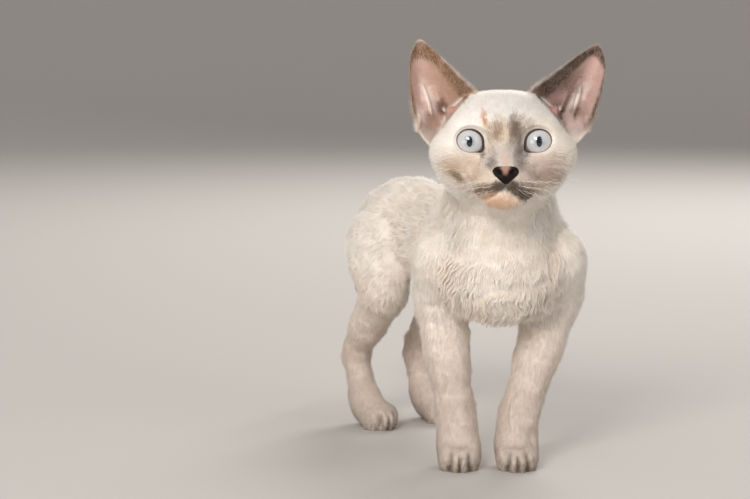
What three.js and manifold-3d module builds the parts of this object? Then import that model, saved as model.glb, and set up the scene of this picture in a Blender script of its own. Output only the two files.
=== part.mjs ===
// A Devon Rex kitten of about three months, life size, standing on four feet with its
// head up and turned to the viewer, and its hindquarters swung to its right.
// Millimetres, +Z up. The kitten faces -Y, its left side is at +X, and its soles stand on z = 0.
import * as THREE from "three";
import { mergeVertices } from "three/addons/utils/BufferGeometryUtils.js";
import Module from "manifold-3d";

const wasm = await Module();
wasm.setup();

// Driving sizes, all to the tips of the short coat.
const EYE_HEIGHT = 166;
const EYE_FORWARD = 42;
const PUPIL_SPACING = 33.8;
const EYEBALL_RADIUS = 9;
const EYE_OPENING_WIDTH = 12.8;
const EYE_OPENING_HEIGHT = 10.8;
const FACE_TILT_UP = 5;
const BACK_HEIGHT = 139;
const CHEST_WIDTH = 68;
const FOREPAW_X = { left: 9, right: -20 };
const EAR_SPLAY = { left: 9, right: 0 };
const HIP_SPREAD = 20;
const HIND_TURN = 30;
const PELVIS = new THREE.Vector3(-46, 120, 0);
const WRIST_CUT = 23;
const ANKLE_CUT = 22;
const KNEE_CUT = 71;
const TOE_OFFSETS = [-7.4, -2.6, 2.6, 7.4];
const TAIL_ROOT_RADIUS = 8.5;
const TAIL_TIP_RADIUS = 4.2;
const TAIL_CUT_SHARE = 0.12;

// The cut left between neighbouring pieces, and how far facets may move when small ones merge.
const GAP = 0.3;
const FLATNESS = 0.16;

const SIDES = [
  { name: "left", sign: 1 },
  { name: "right", sign: -1 },
];

// The planes between head and neck and between neck and trunk, each given by two points of the
// side view: one on the nape or withers, and one on the throat or breast.
const sidePlane = (backY, backZ, frontY, frontZ) => {
  const normal = new THREE.Vector3(0, frontZ - backZ, backY - frontY).normalize();
  return { normal: normal.toArray(), offset: normal.y * backY + normal.z * backZ };
};
const NAPE = sidePlane(8, 161, -34, 130);
const WITHERS = sidePlane(24, 136, -37, 108);

// Fields. Each gives the distance of a point from a rounded form, below zero inside it.

const at = (x, y, z) => new THREE.Vector3(x, y, z);

// An ellipsoid, with an optional turn about its own centre in degrees.
function lump(centre, radii, turn = null) {
  const back = new THREE.Matrix4().makeTranslation(centre.x, centre.y, centre.z);
  if (turn) {
    const [a, b, c] = turn.map(THREE.MathUtils.degToRad);
    back.multiply(new THREE.Matrix4().makeRotationFromEuler(new THREE.Euler(a, b, c)));
  }
  back.invert();
  const q = new THREE.Vector3();
  return (p) => {
    q.copy(p).applyMatrix4(back);
    const near = Math.hypot(q.x / radii[0], q.y / radii[1], q.z / radii[2]);
    const steep = Math.hypot(q.x / radii[0] ** 2, q.y / radii[1] ** 2, q.z / radii[2] ** 2);
    return steep < 1e-9 ? -Math.min(...radii) : (near * (near - 1)) / steep;
  };
}

// A tapered round limb between two points.
function limb(start, end, startRadius, endRadius) {
  const run = end.clone().sub(start);
  const lengthSquared = run.lengthSq();
  const offset = new THREE.Vector3();
  return (p) => {
    offset.copy(p).sub(start);
    const along = THREE.MathUtils.clamp(offset.dot(run) / lengthSquared, 0, 1);
    offset.addScaledVector(run, -along);
    return offset.length() - THREE.MathUtils.lerp(startRadius, endRadius, along);
  };
}

// Forms melted together, with a fillet of about the given depth.
function melt(depth, ...fields) {
  return (p) => {
    let nearest = fields[0](p);
    for (let i = 1; i < fields.length; i++) {
      const next = fields[i](p);
      const share = Math.max(depth - Math.abs(nearest - next), 0) / depth;
      nearest = Math.min(nearest, next) - share * share * depth * 0.25;
    }
    return nearest;
  };
}

// A field that is given in the frame of a matrix.
function placed(matrix, field) {
  const inverse = matrix.clone().invert();
  const q = new THREE.Vector3();
  return (p) => field(q.copy(p).applyMatrix4(inverse));
}

const nearestOf = (...fields) => (p) => Math.min(...fields.map((field) => field(p)));

// Both sides of a form that is given for +X.
const mirrored = (make) => [make(1), make(-1)];

// Skins. A point moves out from the heart of a form until the field rises to the level.
function reachOut(field, from, direction, level, most) {
  const step = 1.5;
  const p = new THREE.Vector3();
  const value = (d) => field(p.copy(from).addScaledVector(direction, d)) - level;
  let inside = 0;
  let outside = step;
  while (outside < most && value(outside) < 0) {
    inside = outside;
    outside += step;
  }
  outside = Math.min(outside, most);
  if (value(outside) < 0) return outside;
  for (let i = 0; i < 14; i++) {
    const middle = (inside + outside) / 2;
    if (value(middle) < 0) inside = middle;
    else outside = middle;
  }
  return inside;
}

function closedGrid(geometry) {
  geometry.deleteAttribute("normal");
  geometry.deleteAttribute("uv");
  return mergeVertices(geometry, 1e-5);
}

function eachVertex(geometry, move) {
  const positions = geometry.getAttribute("position");
  const v = new THREE.Vector3();
  for (let i = 0; i < positions.count; i++) {
    move(v.fromBufferAttribute(positions, i));
    positions.setXYZ(i, v.x, v.y, v.z);
  }
  return geometry;
}

// A closed skin round one heart.
function skinAround(field, heart, { detail, most, level = 0 }) {
  const grid = closedGrid(new THREE.IcosahedronGeometry(1, detail));
  return eachVertex(grid, (v) => {
    const d = reachOut(field, heart, v, level, most + level);
    v.multiplyScalar(d).add(heart);
  });
}

// A closed skin round a curve, with rounded ends. Sides are counted round it and rings along it.
function skinAlong(field, curve, { sides, rings, caps = 4, most, level = 0, up }) {
  const grid = closedGrid(new THREE.CapsuleGeometry(1, 1, caps, sides, rings));
  const heart = new THREE.Vector3();
  const tangent = new THREE.Vector3();
  const side = new THREE.Vector3();
  const top = new THREE.Vector3();
  return eachVertex(grid, (v) => {
    const straight = THREE.MathUtils.clamp(v.y, -0.5, 0.5);
    const share = straight + 0.5;
    curve.getPointAt(share, heart);
    curve.getTangentAt(share, tangent);
    side.crossVectors(tangent, up).normalize();
    top.crossVectors(side, tangent).normalize();
    const outward = side.multiplyScalar(v.x).addScaledVector(top, v.z);
    outward.addScaledVector(tangent, v.y - straight).normalize();
    const reach = typeof most === "function" ? most(share, outward) : most;
    const d = reachOut(field, heart, outward, level, reach + level);
    v.copy(outward).multiplyScalar(d).add(heart);
  });
}

// Solids, which manifold-3d joins and cuts.
function solidOf(geometry) {
  const vertProperties = Float32Array.from(geometry.getAttribute("position").array);
  const triVerts = Uint32Array.from(geometry.index.array);
  const solid = new wasm.Manifold(new wasm.Mesh({ numProp: 3, vertProperties, triVerts }));
  if (solid.volume() > 0) return solid;
  for (let i = 0; i < triVerts.length; i += 3)
    [triVerts[i + 1], triVerts[i + 2]] = [triVerts[i + 2], triVerts[i + 1]];
  return new wasm.Manifold(new wasm.Mesh({ numProp: 3, vertProperties, triVerts }));
}

function geometryOf(solid) {
  const mesh = solid.getMesh();
  const positions = new Float32Array(mesh.numVert * 3);
  for (let i = 0; i < mesh.numVert; i++)
    positions.set(mesh.vertProperties.subarray(i * mesh.numProp, i * mesh.numProp + 3), i * 3);
  const geometry = new THREE.BufferGeometry();
  geometry.setAttribute("position", new THREE.BufferAttribute(positions, 3));
  geometry.setIndex(new THREE.BufferAttribute(mesh.triVerts, 1));
  geometry.computeVertexNormals();
  return geometry;
}

// The largest piece that is left after a cut.
function mainPiece(solid) {
  return solid.decompose().reduce((a, b) => (b.volume() > a.volume() ? b : a));
}

const cutAway = (solid, ...cutters) => mainPiece(cutters.reduce((s, cutter) => s.subtract(cutter), solid));

const above = (solid, z) => mainPiece(solid.trimByPlane([0, 0, 1], z));
const below = (solid, z) => mainPiece(solid.trimByPlane([0, 0, -1], -z));
const inFrontOf = (solid, { normal, offset }) => mainPiece(solid.trimByPlane(normal, offset + GAP / 2));
const behind = (solid, { normal, offset }) =>
  mainPiece(solid.trimByPlane(normal.map((n) => -n), -offset + GAP / 2));

// Head, in its own frame: the origin lies midway between the eyeballs, the face looks to -Y.
const headFrame = new THREE.Matrix4().makeRotationX(THREE.MathUtils.degToRad(-FACE_TILT_UP));
headFrame.setPosition(0, -EYE_FORWARD, EYE_HEIGHT);

const eyeballX = PUPIL_SPACING / 2 - 0.7;

const headField = melt(
  5,
  ...mirrored((s) => lump(at(s * 6.5, 17, 2.5), [23, 29, 22.8])),
  lump(at(0, 3, 10), [20, 12.5, 12.5]),
  ...mirrored((s) => lump(at(s * 20.5, 5, -4.5), [15, 13.5, 12.5])),
  ...mirrored((s) => lump(at(s * 16, 10, -14.5), [13.5, 17, 13])),
  lump(at(0, 8, -18), [15, 17, 12.5]),
  ...mirrored((s) => lump(at(s * 15, -0.5, 8), [10.5, 7.5, 5.5])),
  ...mirrored((s) => lump(at(s * eyeballX, 0, 0), [10.2, 10.2, 10.2])),
  lump(at(0, -8.5, -15), [12.5, 12.5, 10]),
  limb(at(0, -3.5, 5), at(0, -17.5, -12.5), 7.2, 5.2),
  ...mirrored((s) => lump(at(s * 7.4, -14, -20), [8.6, 7.6, 6.4], [0, 0, s * 20])),
  lump(at(0, -18.8, -15.4), [6.4, 4.8, 4.6]),
  lump(at(0, -11, -26.9), [9.8, 8, 5.9]),
);

// Neck and trunk. The spine runs back from the breast and bends to the kitten's right.
const spine = new THREE.CatmullRomCurve3([
  at(0, -20, 98),
  at(0, 4, 103),
  at(-6, 42, 106),
  at(-21, 82, 108),
  at(-40, 116, 110),
  at(-51, 137, 112),
]);

const neckLine = new THREE.LineCurve3(at(0, -2, 114), at(0, -20, 150));

const halfChest = CHEST_WIDTH / 2;
const neckField = limb(at(0, 4, 112), at(0, -16, 152), 31, 24.5);
const trunkField = melt(
  9,
  lump(at(0, 8, 105), [halfChest, 40, 32.5]),
  lump(at(0, -17, 95), [27, 20, 22.5]),
  lump(at(0, 10, BACK_HEIGHT - 12), [17, 26, 12]),
  lump(at(-6, 48, 105), [31, 40, 30], [0, 0, 10]),
  lump(at(-20, 84, 107), [28.5, 36, 27], [0, 0, 24]),
  lump(at(-42, 117, 110), [28, 33, 27.5], [0, 0, HIND_TURN]),
);

// A toe is a ball that points along its turn.
function toeSolid({ centre, radii, turn }) {
  const ball = new THREE.SphereGeometry(1, 7, 5);
  ball.rotateX(Math.PI / 2);
  ball.scale(...radii);
  ball.rotateZ(THREE.MathUtils.degToRad(turn));
  ball.translate(centre.x, centre.y, centre.z);
  return solidOf(closedGrid(ball));
}

// Forelegs. Each runs from the point of the shoulder by the elbow and wrist down to the paw.
function foreleg(side) {
  const s = side.sign;
  const pawX = FOREPAW_X[side.name];
  const shoulder = at(s * 30, -6, 106);
  const elbow = at(s * 29.5, 10, 84);
  const knuckle = at(pawX + s * 1.5, -1, 26);
  const wrist = at(pawX, -3, 14);
  const toes = TOE_OFFSETS.map((x, i) => {
    const middle = i === 1 || i === 2;
    const centre = at(pawX + x, middle ? -20.5 : -17, 6.3);
    return { centre, radii: [3.5, middle ? 8.2 : 7.6, 7.2], turn: -x * 2.4 };
  });
  const arm = melt(
    7,
    limb(shoulder, elbow, 15, 13.5),
    limb(elbow, elbow.clone().lerp(knuckle, 0.5), 12.5, 10.8),
    limb(elbow.clone().lerp(knuckle, 0.4), knuckle, 11, 9.7),
    limb(knuckle, wrist, 9.7, 9.6),
  );
  const paw = melt(5, lump(at(pawX, -4, 10.5), [10.8, 12, 11.5]), lump(at(pawX, -12, 7.6), [10.6, 10, 8.6]));
  const line = [shoulder, elbow, knuckle, wrist];
  return { field: melt(4, arm, paw), toes, line, pawHeart: at(pawX, -8, 9) };
}

// Hind legs, in a frame under the pelvis that is turned with the hindquarters.
const hindFrame = new THREE.Matrix4().makeRotationZ(THREE.MathUtils.degToRad(HIND_TURN));
hindFrame.setPosition(PELVIS);
const hind = (x, y, z) => at(x, y, z).applyMatrix4(hindFrame);

function hindleg(side) {
  const s = side.sign;
  const x = s * HIP_SPREAD;
  const hip = hind(x * 0.85, 2, 106);
  const knee = hind(x * 1.12, -17, 76);
  const hock = hind(x * 0.98, 20, 40);
  const ankle = hind(x * 0.98, 13, 18);
  const sole = hind(x * 0.98, 8, 12);
  const toes = TOE_OFFSETS.map((across, i) => {
    const middle = i === 1 || i === 2;
    const centre = hind(x + across * 0.95, middle ? -12 : -8.5, 6.2);
    return { centre, radii: [3.4, middle ? 8 : 7.4, 7], turn: HIND_TURN - across * 2.2 };
  });
  const thigh = melt(
    8,
    lump(hind(x * 0.95, -1, 95), [13.5, 23, 25], [16, 0, HIND_TURN]),
    limb(hind(x, -6, 92), knee, 16, 12.5),
  );
  const shank = melt(
    6,
    limb(knee, hind(x * 1.04, 4, 56), 12.5, 9.8),
    limb(hind(x * 1.04, 4, 56), hock, 9.6, 7.4),
    limb(hock, ankle, 7.4, 8.2),
  );
  const paw = melt(5, lump(sole, [9, 12, 11]), lump(hind(x, -3, 7.6), [10, 10.5, 8.4], [0, 0, HIND_TURN]));
  return {
    field: melt(5, thigh, shank, paw),
    thighLine: [hip, hind(x, -6, 90), knee],
    shankLine: [knee, hind(x * 1.04, 2, 58), hock, ankle, sole],
    toes,
    pawHeart: hind(x, 0, 8),
  };
}

// The tail hangs behind the hind legs and lifts a little at its end.
const tailLine = new THREE.CatmullRomCurve3([
  at(-54, 138, 122),
  at(-62, 153, 118),
  at(-68, 172, 100),
  at(-70, 189, 77),
  at(-66, 209, 60),
  at(-59, 231, 53),
  at(-52, 251, 58),
]);
const tailSteps = 14;
const tailField = melt(
  3,
  ...Array.from({ length: tailSteps }, (_, i) => {
    const radius = (t) => THREE.MathUtils.lerp(TAIL_ROOT_RADIUS, TAIL_TIP_RADIUS, Math.pow(t, 0.8));
    const [t0, t1] = [i / tailSteps, (i + 1) / tailSteps];
    return limb(tailLine.getPoint(t0), tailLine.getPoint(t1), radius(t0), radius(t1));
  }),
);

// The block that parts the tail from the trunk, square to the tail.
function tailCut() {
  const forward = tailLine.getTangentAt(TAIL_CUT_SHARE);
  const block = new THREE.BoxGeometry(24, 24, 40);
  block.translate(0, 0, 20);
  block.lookAt(forward);
  const start = tailLine.getPointAt(TAIL_CUT_SHARE).addScaledVector(forward, -GAP);
  block.translate(start.x, start.y, start.z);
  return solidOf(closedGrid(block));
}

// The whole kitten. Each limb melts into the trunk, and never into another limb.
const forelegs = SIDES.map(foreleg);
const hindlegs = SIDES.map(hindleg);
const core = melt(10, trunkField, neckField);
const withHead = melt(6, core, placed(headFrame, headField));
const kitten = nearestOf(
  withHead,
  ...forelegs.map((leg) => melt(8, core, leg.field)),
  ...hindlegs.map((leg) => melt(9, core, leg.field)),
  melt(5, core, tailField),
);

// Pieces of the head.
const headHeart = at(0, 9, -3).applyMatrix4(headFrame);
const headSkin = (level) =>
  inFrontOf(solidOf(skinAround(withHead, headHeart, { detail: 9, most: 56, level })), NAPE);

// The outline of the eye's opening: a round almond whose inner corner points down to the nose.
function eyeOpening(sign) {
  const [w, h] = [EYE_OPENING_WIDTH / 2, EYE_OPENING_HEIGHT / 2];
  const outline = new THREE.Shape();
  outline.moveTo(-w * 1.06, -h * 0.38);
  outline.bezierCurveTo(-w * 1.02, h * 0.5, -w * 0.5, h, w * 0.05, h);
  outline.bezierCurveTo(w * 0.62, h, w, h * 0.62, w, h * 0.16);
  outline.bezierCurveTo(w, -h * 0.5, w * 0.5, -h, -w * 0.05, -h);
  outline.bezierCurveTo(-w * 0.5, -h, -w * 0.85, -h * 0.78, -w * 1.06, -h * 0.38);
  const cutter = new THREE.ExtrudeGeometry(outline, { depth: 20, bevelEnabled: false, curveSegments: 4 });
  cutter.rotateX(Math.PI / 2);
  if (sign < 0) cutter.scale(-1, 1, 1);
  cutter.translate(sign * (PUPIL_SPACING / 2), -3, 0);
  return solidOf(closedGrid(cutter)).transform(headFrame.elements);
}

function eyeball(sign, radius) {
  const ball = new THREE.SphereGeometry(radius, 14, 9);
  ball.rotateX(Math.PI / 2);
  ball.translate(sign * eyeballX, 0, 0);
  return solidOf(closedGrid(ball)).transform(headFrame.elements);
}

// The nose leather is cut out of the tip of the muzzle.
function noseCutter(grow) {
  const outline = new THREE.Shape();
  outline.moveTo(0, -5.4 - grow);
  outline.bezierCurveTo(2.2 + grow, -3.4 - grow, 6.6 + grow, -0.6 - grow, 6.4 + grow, 1.4);
  outline.bezierCurveTo(6 + grow, 3.4 + grow, 2.4, 3.6 + grow, 0, 3.4 + grow);
  outline.bezierCurveTo(-2.4, 3.6 + grow, -6 - grow, 3.4 + grow, -6.4 - grow, 1.4);
  outline.bezierCurveTo(-6.6 - grow, -0.6 - grow, -2.2 - grow, -3.4 - grow, 0, -5.4 - grow);
  const straight = { depth: 12 + grow, bevelEnabled: false, curveSegments: 3 };
  const cutter = new THREE.ExtrudeGeometry(outline, straight);
  cutter.rotateX(Math.PI / 2);
  cutter.translate(0, -18.5 + grow, -15.6);
  return solidOf(closedGrid(cutter)).transform(headFrame.elements);
}

// An ear is a cupped leaf between two edge curves. It starts inside the head, which trims it.
function ear({ name, sign }) {
  const edge = (points) => new THREE.CatmullRomCurve3(points.map(([x, y, z]) => at(sign * x, y, z)));
  const inner = edge([
    [8, 12, 18], [12.5, 9, 24.5], [19, 7, 30.5], [29, 8.5, 40.5], [36.5, 12, 48], [39.6, 14, 50.3],
  ]);
  const outer = edge([
    [27, 16, -9], [38.4, 11, 1.5], [43.6, 8.5, 13], [45.2, 8.5, 28], [45.2, 11.5, 42], [41.6, 14, 49.8],
  ]);
  const grid = closedGrid(new THREE.BoxGeometry(2, 2, 1, 8, 9, 1));
  const backward = at(sign * 0.1, 1, -0.12).normalize();
  const [a, b, across, middle, normal] = Array.from({ length: 5 }, () => at(0, 0, 0));
  eachVertex(grid, (v) => {
    const along = (v.y + 1) / 2;
    inner.getPoint(along, a);
    outer.getPoint(along, b);
    across.copy(b).sub(a).normalize();
    const bow = 1 - v.x * v.x;
    middle.copy(a).lerp(b, (v.x + 1) / 2).addScaledVector(backward, 17 * Math.pow(1 - along, 0.75) * bow);
    normal.copy(backward).addScaledVector(across, 0.9 * v.x * (1 - along)).normalize();
    const thick = THREE.MathUtils.lerp(2.6, 1.7, along) * (0.55 + 0.45 * bow);
    v.copy(middle.addScaledVector(normal, v.z * thick));
  });
  const pivot = at(sign * 31, 10, 8);
  grid.translate(-pivot.x, -pivot.y, -pivot.z);
  grid.rotateY(THREE.MathUtils.degToRad(sign * EAR_SPLAY[name]));
  grid.translate(pivot.x, pivot.y, pivot.z);
  return solidOf(grid).transform(headFrame.elements);
}

const whole = {};
const headGrown = headSkin(GAP);
const eyes = SIDES.map((side) => eyeball(side.sign, EYEBALL_RADIUS));
const sockets = SIDES.map((side) => eyeball(side.sign, EYEBALL_RADIUS + GAP));
const openings = SIDES.map((side) => eyeOpening(side.sign));
const headWhole = headSkin(0);
whole.head = cutAway(headWhole, ...sockets, ...openings, noseCutter(GAP));
whole.nose = mainPiece(headWhole.intersect(noseCutter(0)));
SIDES.forEach((side, i) => {
  whole["eye_" + side.name] = eyes[i];
  whole["ear_" + side.name] = cutAway(ear(side), headGrown);
});

// Neck and trunk. Upwards, forwards and backwards the trunk takes all of the flesh, and sideways
// and downwards as much as lies near the spine.
function trunkReach(share, outward) {
  const flank = THREE.MathUtils.lerp(33.5, 24, THREE.MathUtils.smoothstep(share, 0.68, 0.85));
  const beyondEnd = Math.abs(share - 0.5) < 0.499 ? 0 : Math.abs(outward.dot(spine.getTangentAt(share)));
  const free = Math.max(outward.z - 0.1, beyondEnd);
  return THREE.MathUtils.lerp(flank, 52, THREE.MathUtils.smoothstep(free, 0.3, 0.6));
}
const trunkGrid = { sides: 22, rings: 15, caps: 4, most: trunkReach, up: at(0, 0, 1) };
const trunkSkin = (level) => solidOf(skinAlong(kitten, spine, { ...trunkGrid, level }));
const tailRoot = tailCut();
const trunkGrown = behind(trunkSkin(GAP), { ...WITHERS, offset: WITHERS.offset + GAP });
whole.trunk = cutAway(behind(trunkSkin(0), WITHERS), tailRoot);
const neckGrid = { sides: 22, rings: 7, caps: 2, most: 50, up: at(0, 1, 0) };
const neckSkin = (level) => solidOf(skinAlong(withHead, neckLine, { ...neckGrid, level }));
const neckGrown = inFrontOf(neckSkin(GAP), { ...WITHERS, offset: WITHERS.offset - GAP });
whole.neck = behind(inFrontOf(neckSkin(0), WITHERS), NAPE);

// Legs, tail and paws.
const nearLeg = (leg) => {
  const joined = melt(8, core, leg.field);
  return (p) => Math.max(joined(p), leg.field(p) - 1.5);
};
const legLine = (points) => new THREE.CatmullRomCurve3(points);
function pawSolid(leg, top) {
  const heel = solidOf(skinAround(kitten, leg.pawHeart, { detail: 3, most: 24 }));
  return above(below(leg.toes.reduce((s, one) => s.add(toeSolid(one)), heel), top - GAP / 2), 0);
}
SIDES.forEach((side, i) => {
  const fore = forelegs[i];
  const upright = { sides: 12, rings: 12, caps: 2, up: at(0, 1, 0) };
  const arm = skinAlong(nearLeg(fore), legLine(fore.line), { ...upright, most: 17 });
  whole["foreleg_" + side.name] = above(cutAway(solidOf(arm), trunkGrown, neckGrown), WRIST_CUT + GAP / 2);
  whole["forepaw_" + side.name] = pawSolid(fore, WRIST_CUT);

  const rear = hindlegs[i];
  const broad = { ...upright, sides: 14, rings: 6, caps: 3, most: 28 };
  const thigh = skinAlong(nearLeg(rear), legLine(rear.thighLine), broad);
  const outward = at(side.sign, 0, 0).transformDirection(hindFrame);
  const ownHalf = { normal: outward.toArray(), offset: outward.dot(PELVIS) };
  const thighPart = inFrontOf(cutAway(solidOf(thigh), trunkGrown), ownHalf);
  whole["thigh_" + side.name] = above(thighPart, KNEE_CUT + GAP / 2);
  const shank = solidOf(skinAlong(kitten, legLine(rear.shankLine), { ...upright, most: 18 }));
  whole["shank_" + side.name] = above(below(shank, KNEE_CUT - GAP / 2), ANKLE_CUT + GAP / 2);
  whole["hindpaw_" + side.name] = pawSolid(rear, ANKLE_CUT);
});
const tail = skinAlong(kitten, tailLine, { sides: 10, rings: 22, caps: 3, most: 12, up: at(1, 0, 0) });
const tailStart = tailLine.getTangentAt(TAIL_CUT_SHARE);
whole.tail = inFrontOf(solidOf(tail), {
  normal: tailStart.toArray(),
  offset: tailStart.dot(tailLine.getPointAt(TAIL_CUT_SHARE)),
});

// Finishes.
const coat = (colour) => new THREE.MeshStandardMaterial({ color: colour, roughness: 0.85, metalness: 0 });
const finishes = {
  cream: coat(0xe6dccf),
  point: coat(0xb9a89b),
  paw: coat(0xcfc5bb),
  leather: new THREE.MeshStandardMaterial({ color: 0x4a3a38, roughness: 0.55, metalness: 0 }),
  eye: new THREE.MeshStandardMaterial({ color: 0xc9d8e6, roughness: 0.08, metalness: 0 }),
};

function finishOf(name) {
  if (name.startsWith("eye")) return finishes.eye;
  if (name === "nose") return finishes.leather;
  if (name.startsWith("ear")) return finishes.point;
  if (name.includes("paw")) return finishes.paw;
  return finishes.cream;
}

const model = new THREE.Group();
for (const [name, solid] of Object.entries(whole)) {
  const mesh = new THREE.Mesh(geometryOf(solid.simplify(FLATNESS)), finishOf(name));
  mesh.name = name;
  model.add(mesh);
}

// The origin is on the floor, under the middle of the kitten.
const middle = new THREE.Box3().setFromObject(model).getCenter(new THREE.Vector3());
model.position.set(-middle.x, -middle.y, 0);

export default model;
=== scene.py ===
# A life-size Devon Rex kitten as a museum shows it: skin, wavy coat, eyes, nose, whiskers and claws.
import math
import bpy
import bmesh
import numpy as np
from mathutils import Matrix, Vector
from mathutils.bvhtree import BVHTree


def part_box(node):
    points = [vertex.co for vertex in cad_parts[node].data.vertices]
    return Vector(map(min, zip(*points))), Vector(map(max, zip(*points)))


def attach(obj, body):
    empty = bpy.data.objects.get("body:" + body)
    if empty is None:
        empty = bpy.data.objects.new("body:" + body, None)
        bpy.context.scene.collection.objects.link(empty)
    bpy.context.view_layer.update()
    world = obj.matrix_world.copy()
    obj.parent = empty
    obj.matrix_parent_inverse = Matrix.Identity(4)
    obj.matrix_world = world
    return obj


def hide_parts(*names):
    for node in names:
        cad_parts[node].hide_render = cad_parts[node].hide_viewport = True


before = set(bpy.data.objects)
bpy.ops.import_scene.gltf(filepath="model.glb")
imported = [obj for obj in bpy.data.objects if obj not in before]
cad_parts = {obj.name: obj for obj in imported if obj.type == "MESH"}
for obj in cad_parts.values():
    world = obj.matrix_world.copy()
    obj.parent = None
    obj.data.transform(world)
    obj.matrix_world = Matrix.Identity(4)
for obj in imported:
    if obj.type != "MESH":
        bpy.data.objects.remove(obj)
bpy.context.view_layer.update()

mm = 0.001
draw = np.random.default_rng(11)   # every random choice comes from this one seeded source
scene = bpy.context.scene

sides = {"left": 1, "right": -1}

# The head's own frame, in millimetres: the middle lies between the eyeballs and the face looks to -Y.
eyeMiddle = {side: (Vector(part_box("eye_" + side)[0]) + Vector(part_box("eye_" + side)[1])) / 2
             for side in sides}
headPlace = (eyeMiddle["left"] + eyeMiddle["right"]) / 2
headTilt = math.radians(-5)
headTurn = Matrix.Rotation(headTilt, 3, "X")
headAxes = np.array(headTurn)

# The body's frame stands upright, with its middle on the floor between the forepaws.
headInBody = Vector((0, -42, 166))
bodyPlace = headPlace - headInBody * mm


def headPoint(x, y, z):
    return headPlace + headTurn @ Vector((x, y, z)) * mm


def bodyPoint(x, y, z):
    return bodyPlace + Vector((x, y, z)) * mm


def toHead(points):
    return (points - np.array(headPlace)) @ headAxes / mm


def toBody(points):
    return (points - np.array(bodyPlace)) / mm


def linked(name, data):
    obj = bpy.data.objects.new(name, data)
    scene.collection.objects.link(obj)
    return obj


# Camera, so that the head falls on the same pixels as in the photograph.
cameraView = {"height": 6, "distance": 1.25, "scale": 0.484 * mm, "headPixel": (503.5, 142),
              "frame": (750, 499)}


def makeCamera(view):
    tilt = math.radians(view["height"])
    ahead = Vector((0, math.cos(tilt), -math.sin(tilt)))
    upward = Vector((0, math.sin(tilt), math.cos(tilt)))
    width, height = view["frame"]
    across = (view["headPixel"][0] - width / 2) * view["scale"]
    rise = (height / 2 - view["headPixel"][1]) * view["scale"]
    target = headPlace - Vector((across, 0, 0)) - upward * rise
    camera = linked("camera", bpy.data.cameras.new("camera"))
    camera.data.lens = view["distance"] / (view["scale"] * width) * camera.data.sensor_width
    camera.data.clip_start = 0.02
    camera.location = target - ahead * view["distance"]
    camera.rotation_euler = (-ahead).to_track_quat("Z", "Y").to_euler()
    scene.camera = camera


makeCamera(cameraView)
print("camera placed")


# Small helpers for meshes.
def fromBmesh(name, shape):
    mesh = bpy.data.meshes.new(name)
    shape.to_mesh(mesh)
    shape.free()
    return linked(name, mesh)


def finishMesh(obj):   # applies the modifiers, so that the mesh holds the final shape
    graph = bpy.context.evaluated_depsgraph_get()
    done = bpy.data.meshes.new_from_object(obj.evaluated_get(graph))
    obj.modifiers.clear()
    old = obj.data
    obj.data = done
    bpy.data.meshes.remove(old)
    return obj


def voxelRemesh(obj, voxel):
    remesh = obj.modifiers.new("remesh", "REMESH")
    remesh.mode = "VOXEL"
    remesh.voxel_size = voxel
    return finishMesh(obj)


def smooth(mesh):
    mesh.polygons.foreach_set("use_smooth", np.ones(len(mesh.polygons), bool))


def readArray(items, key, width, kind=np.float32):
    values = np.empty(len(items) * width, kind)
    items.foreach_get(key, values)
    return values.reshape(-1, width)


def readPoints(mesh):
    return readArray(mesh.vertices, "co", 3).astype(float)


def readNormals(mesh):
    return readArray(mesh.vertex_normals, "vector", 3).astype(float)


def readEdges(mesh):
    return readArray(mesh.edges, "vertices", 2, np.int32)


def writePoints(mesh, points):
    mesh.vertices.foreach_set("co", points.astype(np.float32).ravel())
    mesh.update()


def evened(values, edges, rounds, amount=0.5, hold=None):   # averages values over neighbours
    values = values.astype(float).copy()
    flat = values.ndim == 1
    if flat:
        values = values[:, None]
    a, b = edges[:, 0], edges[:, 1]
    ends = np.concatenate([a, b])
    count = np.maximum(np.bincount(ends, minlength=len(values)), 1)
    share = amount if hold is None else (amount * hold)[:, None]
    for _ in range(rounds):
        others = np.concatenate([values[b], values[a]])
        mean = np.stack([np.bincount(ends, others[:, k], len(values)) for k in range(values.shape[1])], 1)
        values += (mean / count[:, None] - values) * share
    return values[:, 0] if flat else values


def unit(vectors):
    return vectors / np.maximum(np.linalg.norm(vectors, axis=-1, keepdims=True), 1e-12)


def ramp(values, low, high):   # a smooth step from 0 at low to 1 at high
    t = np.clip((values - low) / (high - low), 0, 1)
    return t * t * (3 - 2 * t)


def bell(distance, width):
    return np.exp(-0.5 * (distance / width) ** 2)


def setAttribute(mesh, name, values):
    layer = mesh.attributes.get(name) or mesh.attributes.new(name, "FLOAT", "POINT")
    layer.data.foreach_set("value", np.asarray(values, np.float32))


def getAttribute(mesh, name):
    return readArray(mesh.attributes[name].data, "value", 1)[:, 0].astype(float)


nodeNames = sorted(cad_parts)


def nearestNodes(points):   # which node of the frame lies nearest to each point
    corners, faces, owners = [], [], []
    for index, name in enumerate(nodeNames):
        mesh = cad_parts[name].data
        faces += [[len(corners) + v for v in polygon.vertices] for polygon in mesh.polygons]
        corners += [v.co.copy() for v in mesh.vertices]
        owners += [index] * len(mesh.polygons)
    tree = BVHTree.FromPolygons(corners, faces)
    return np.array(owners)[[tree.find_nearest(p)[2] for p in points]]


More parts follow.
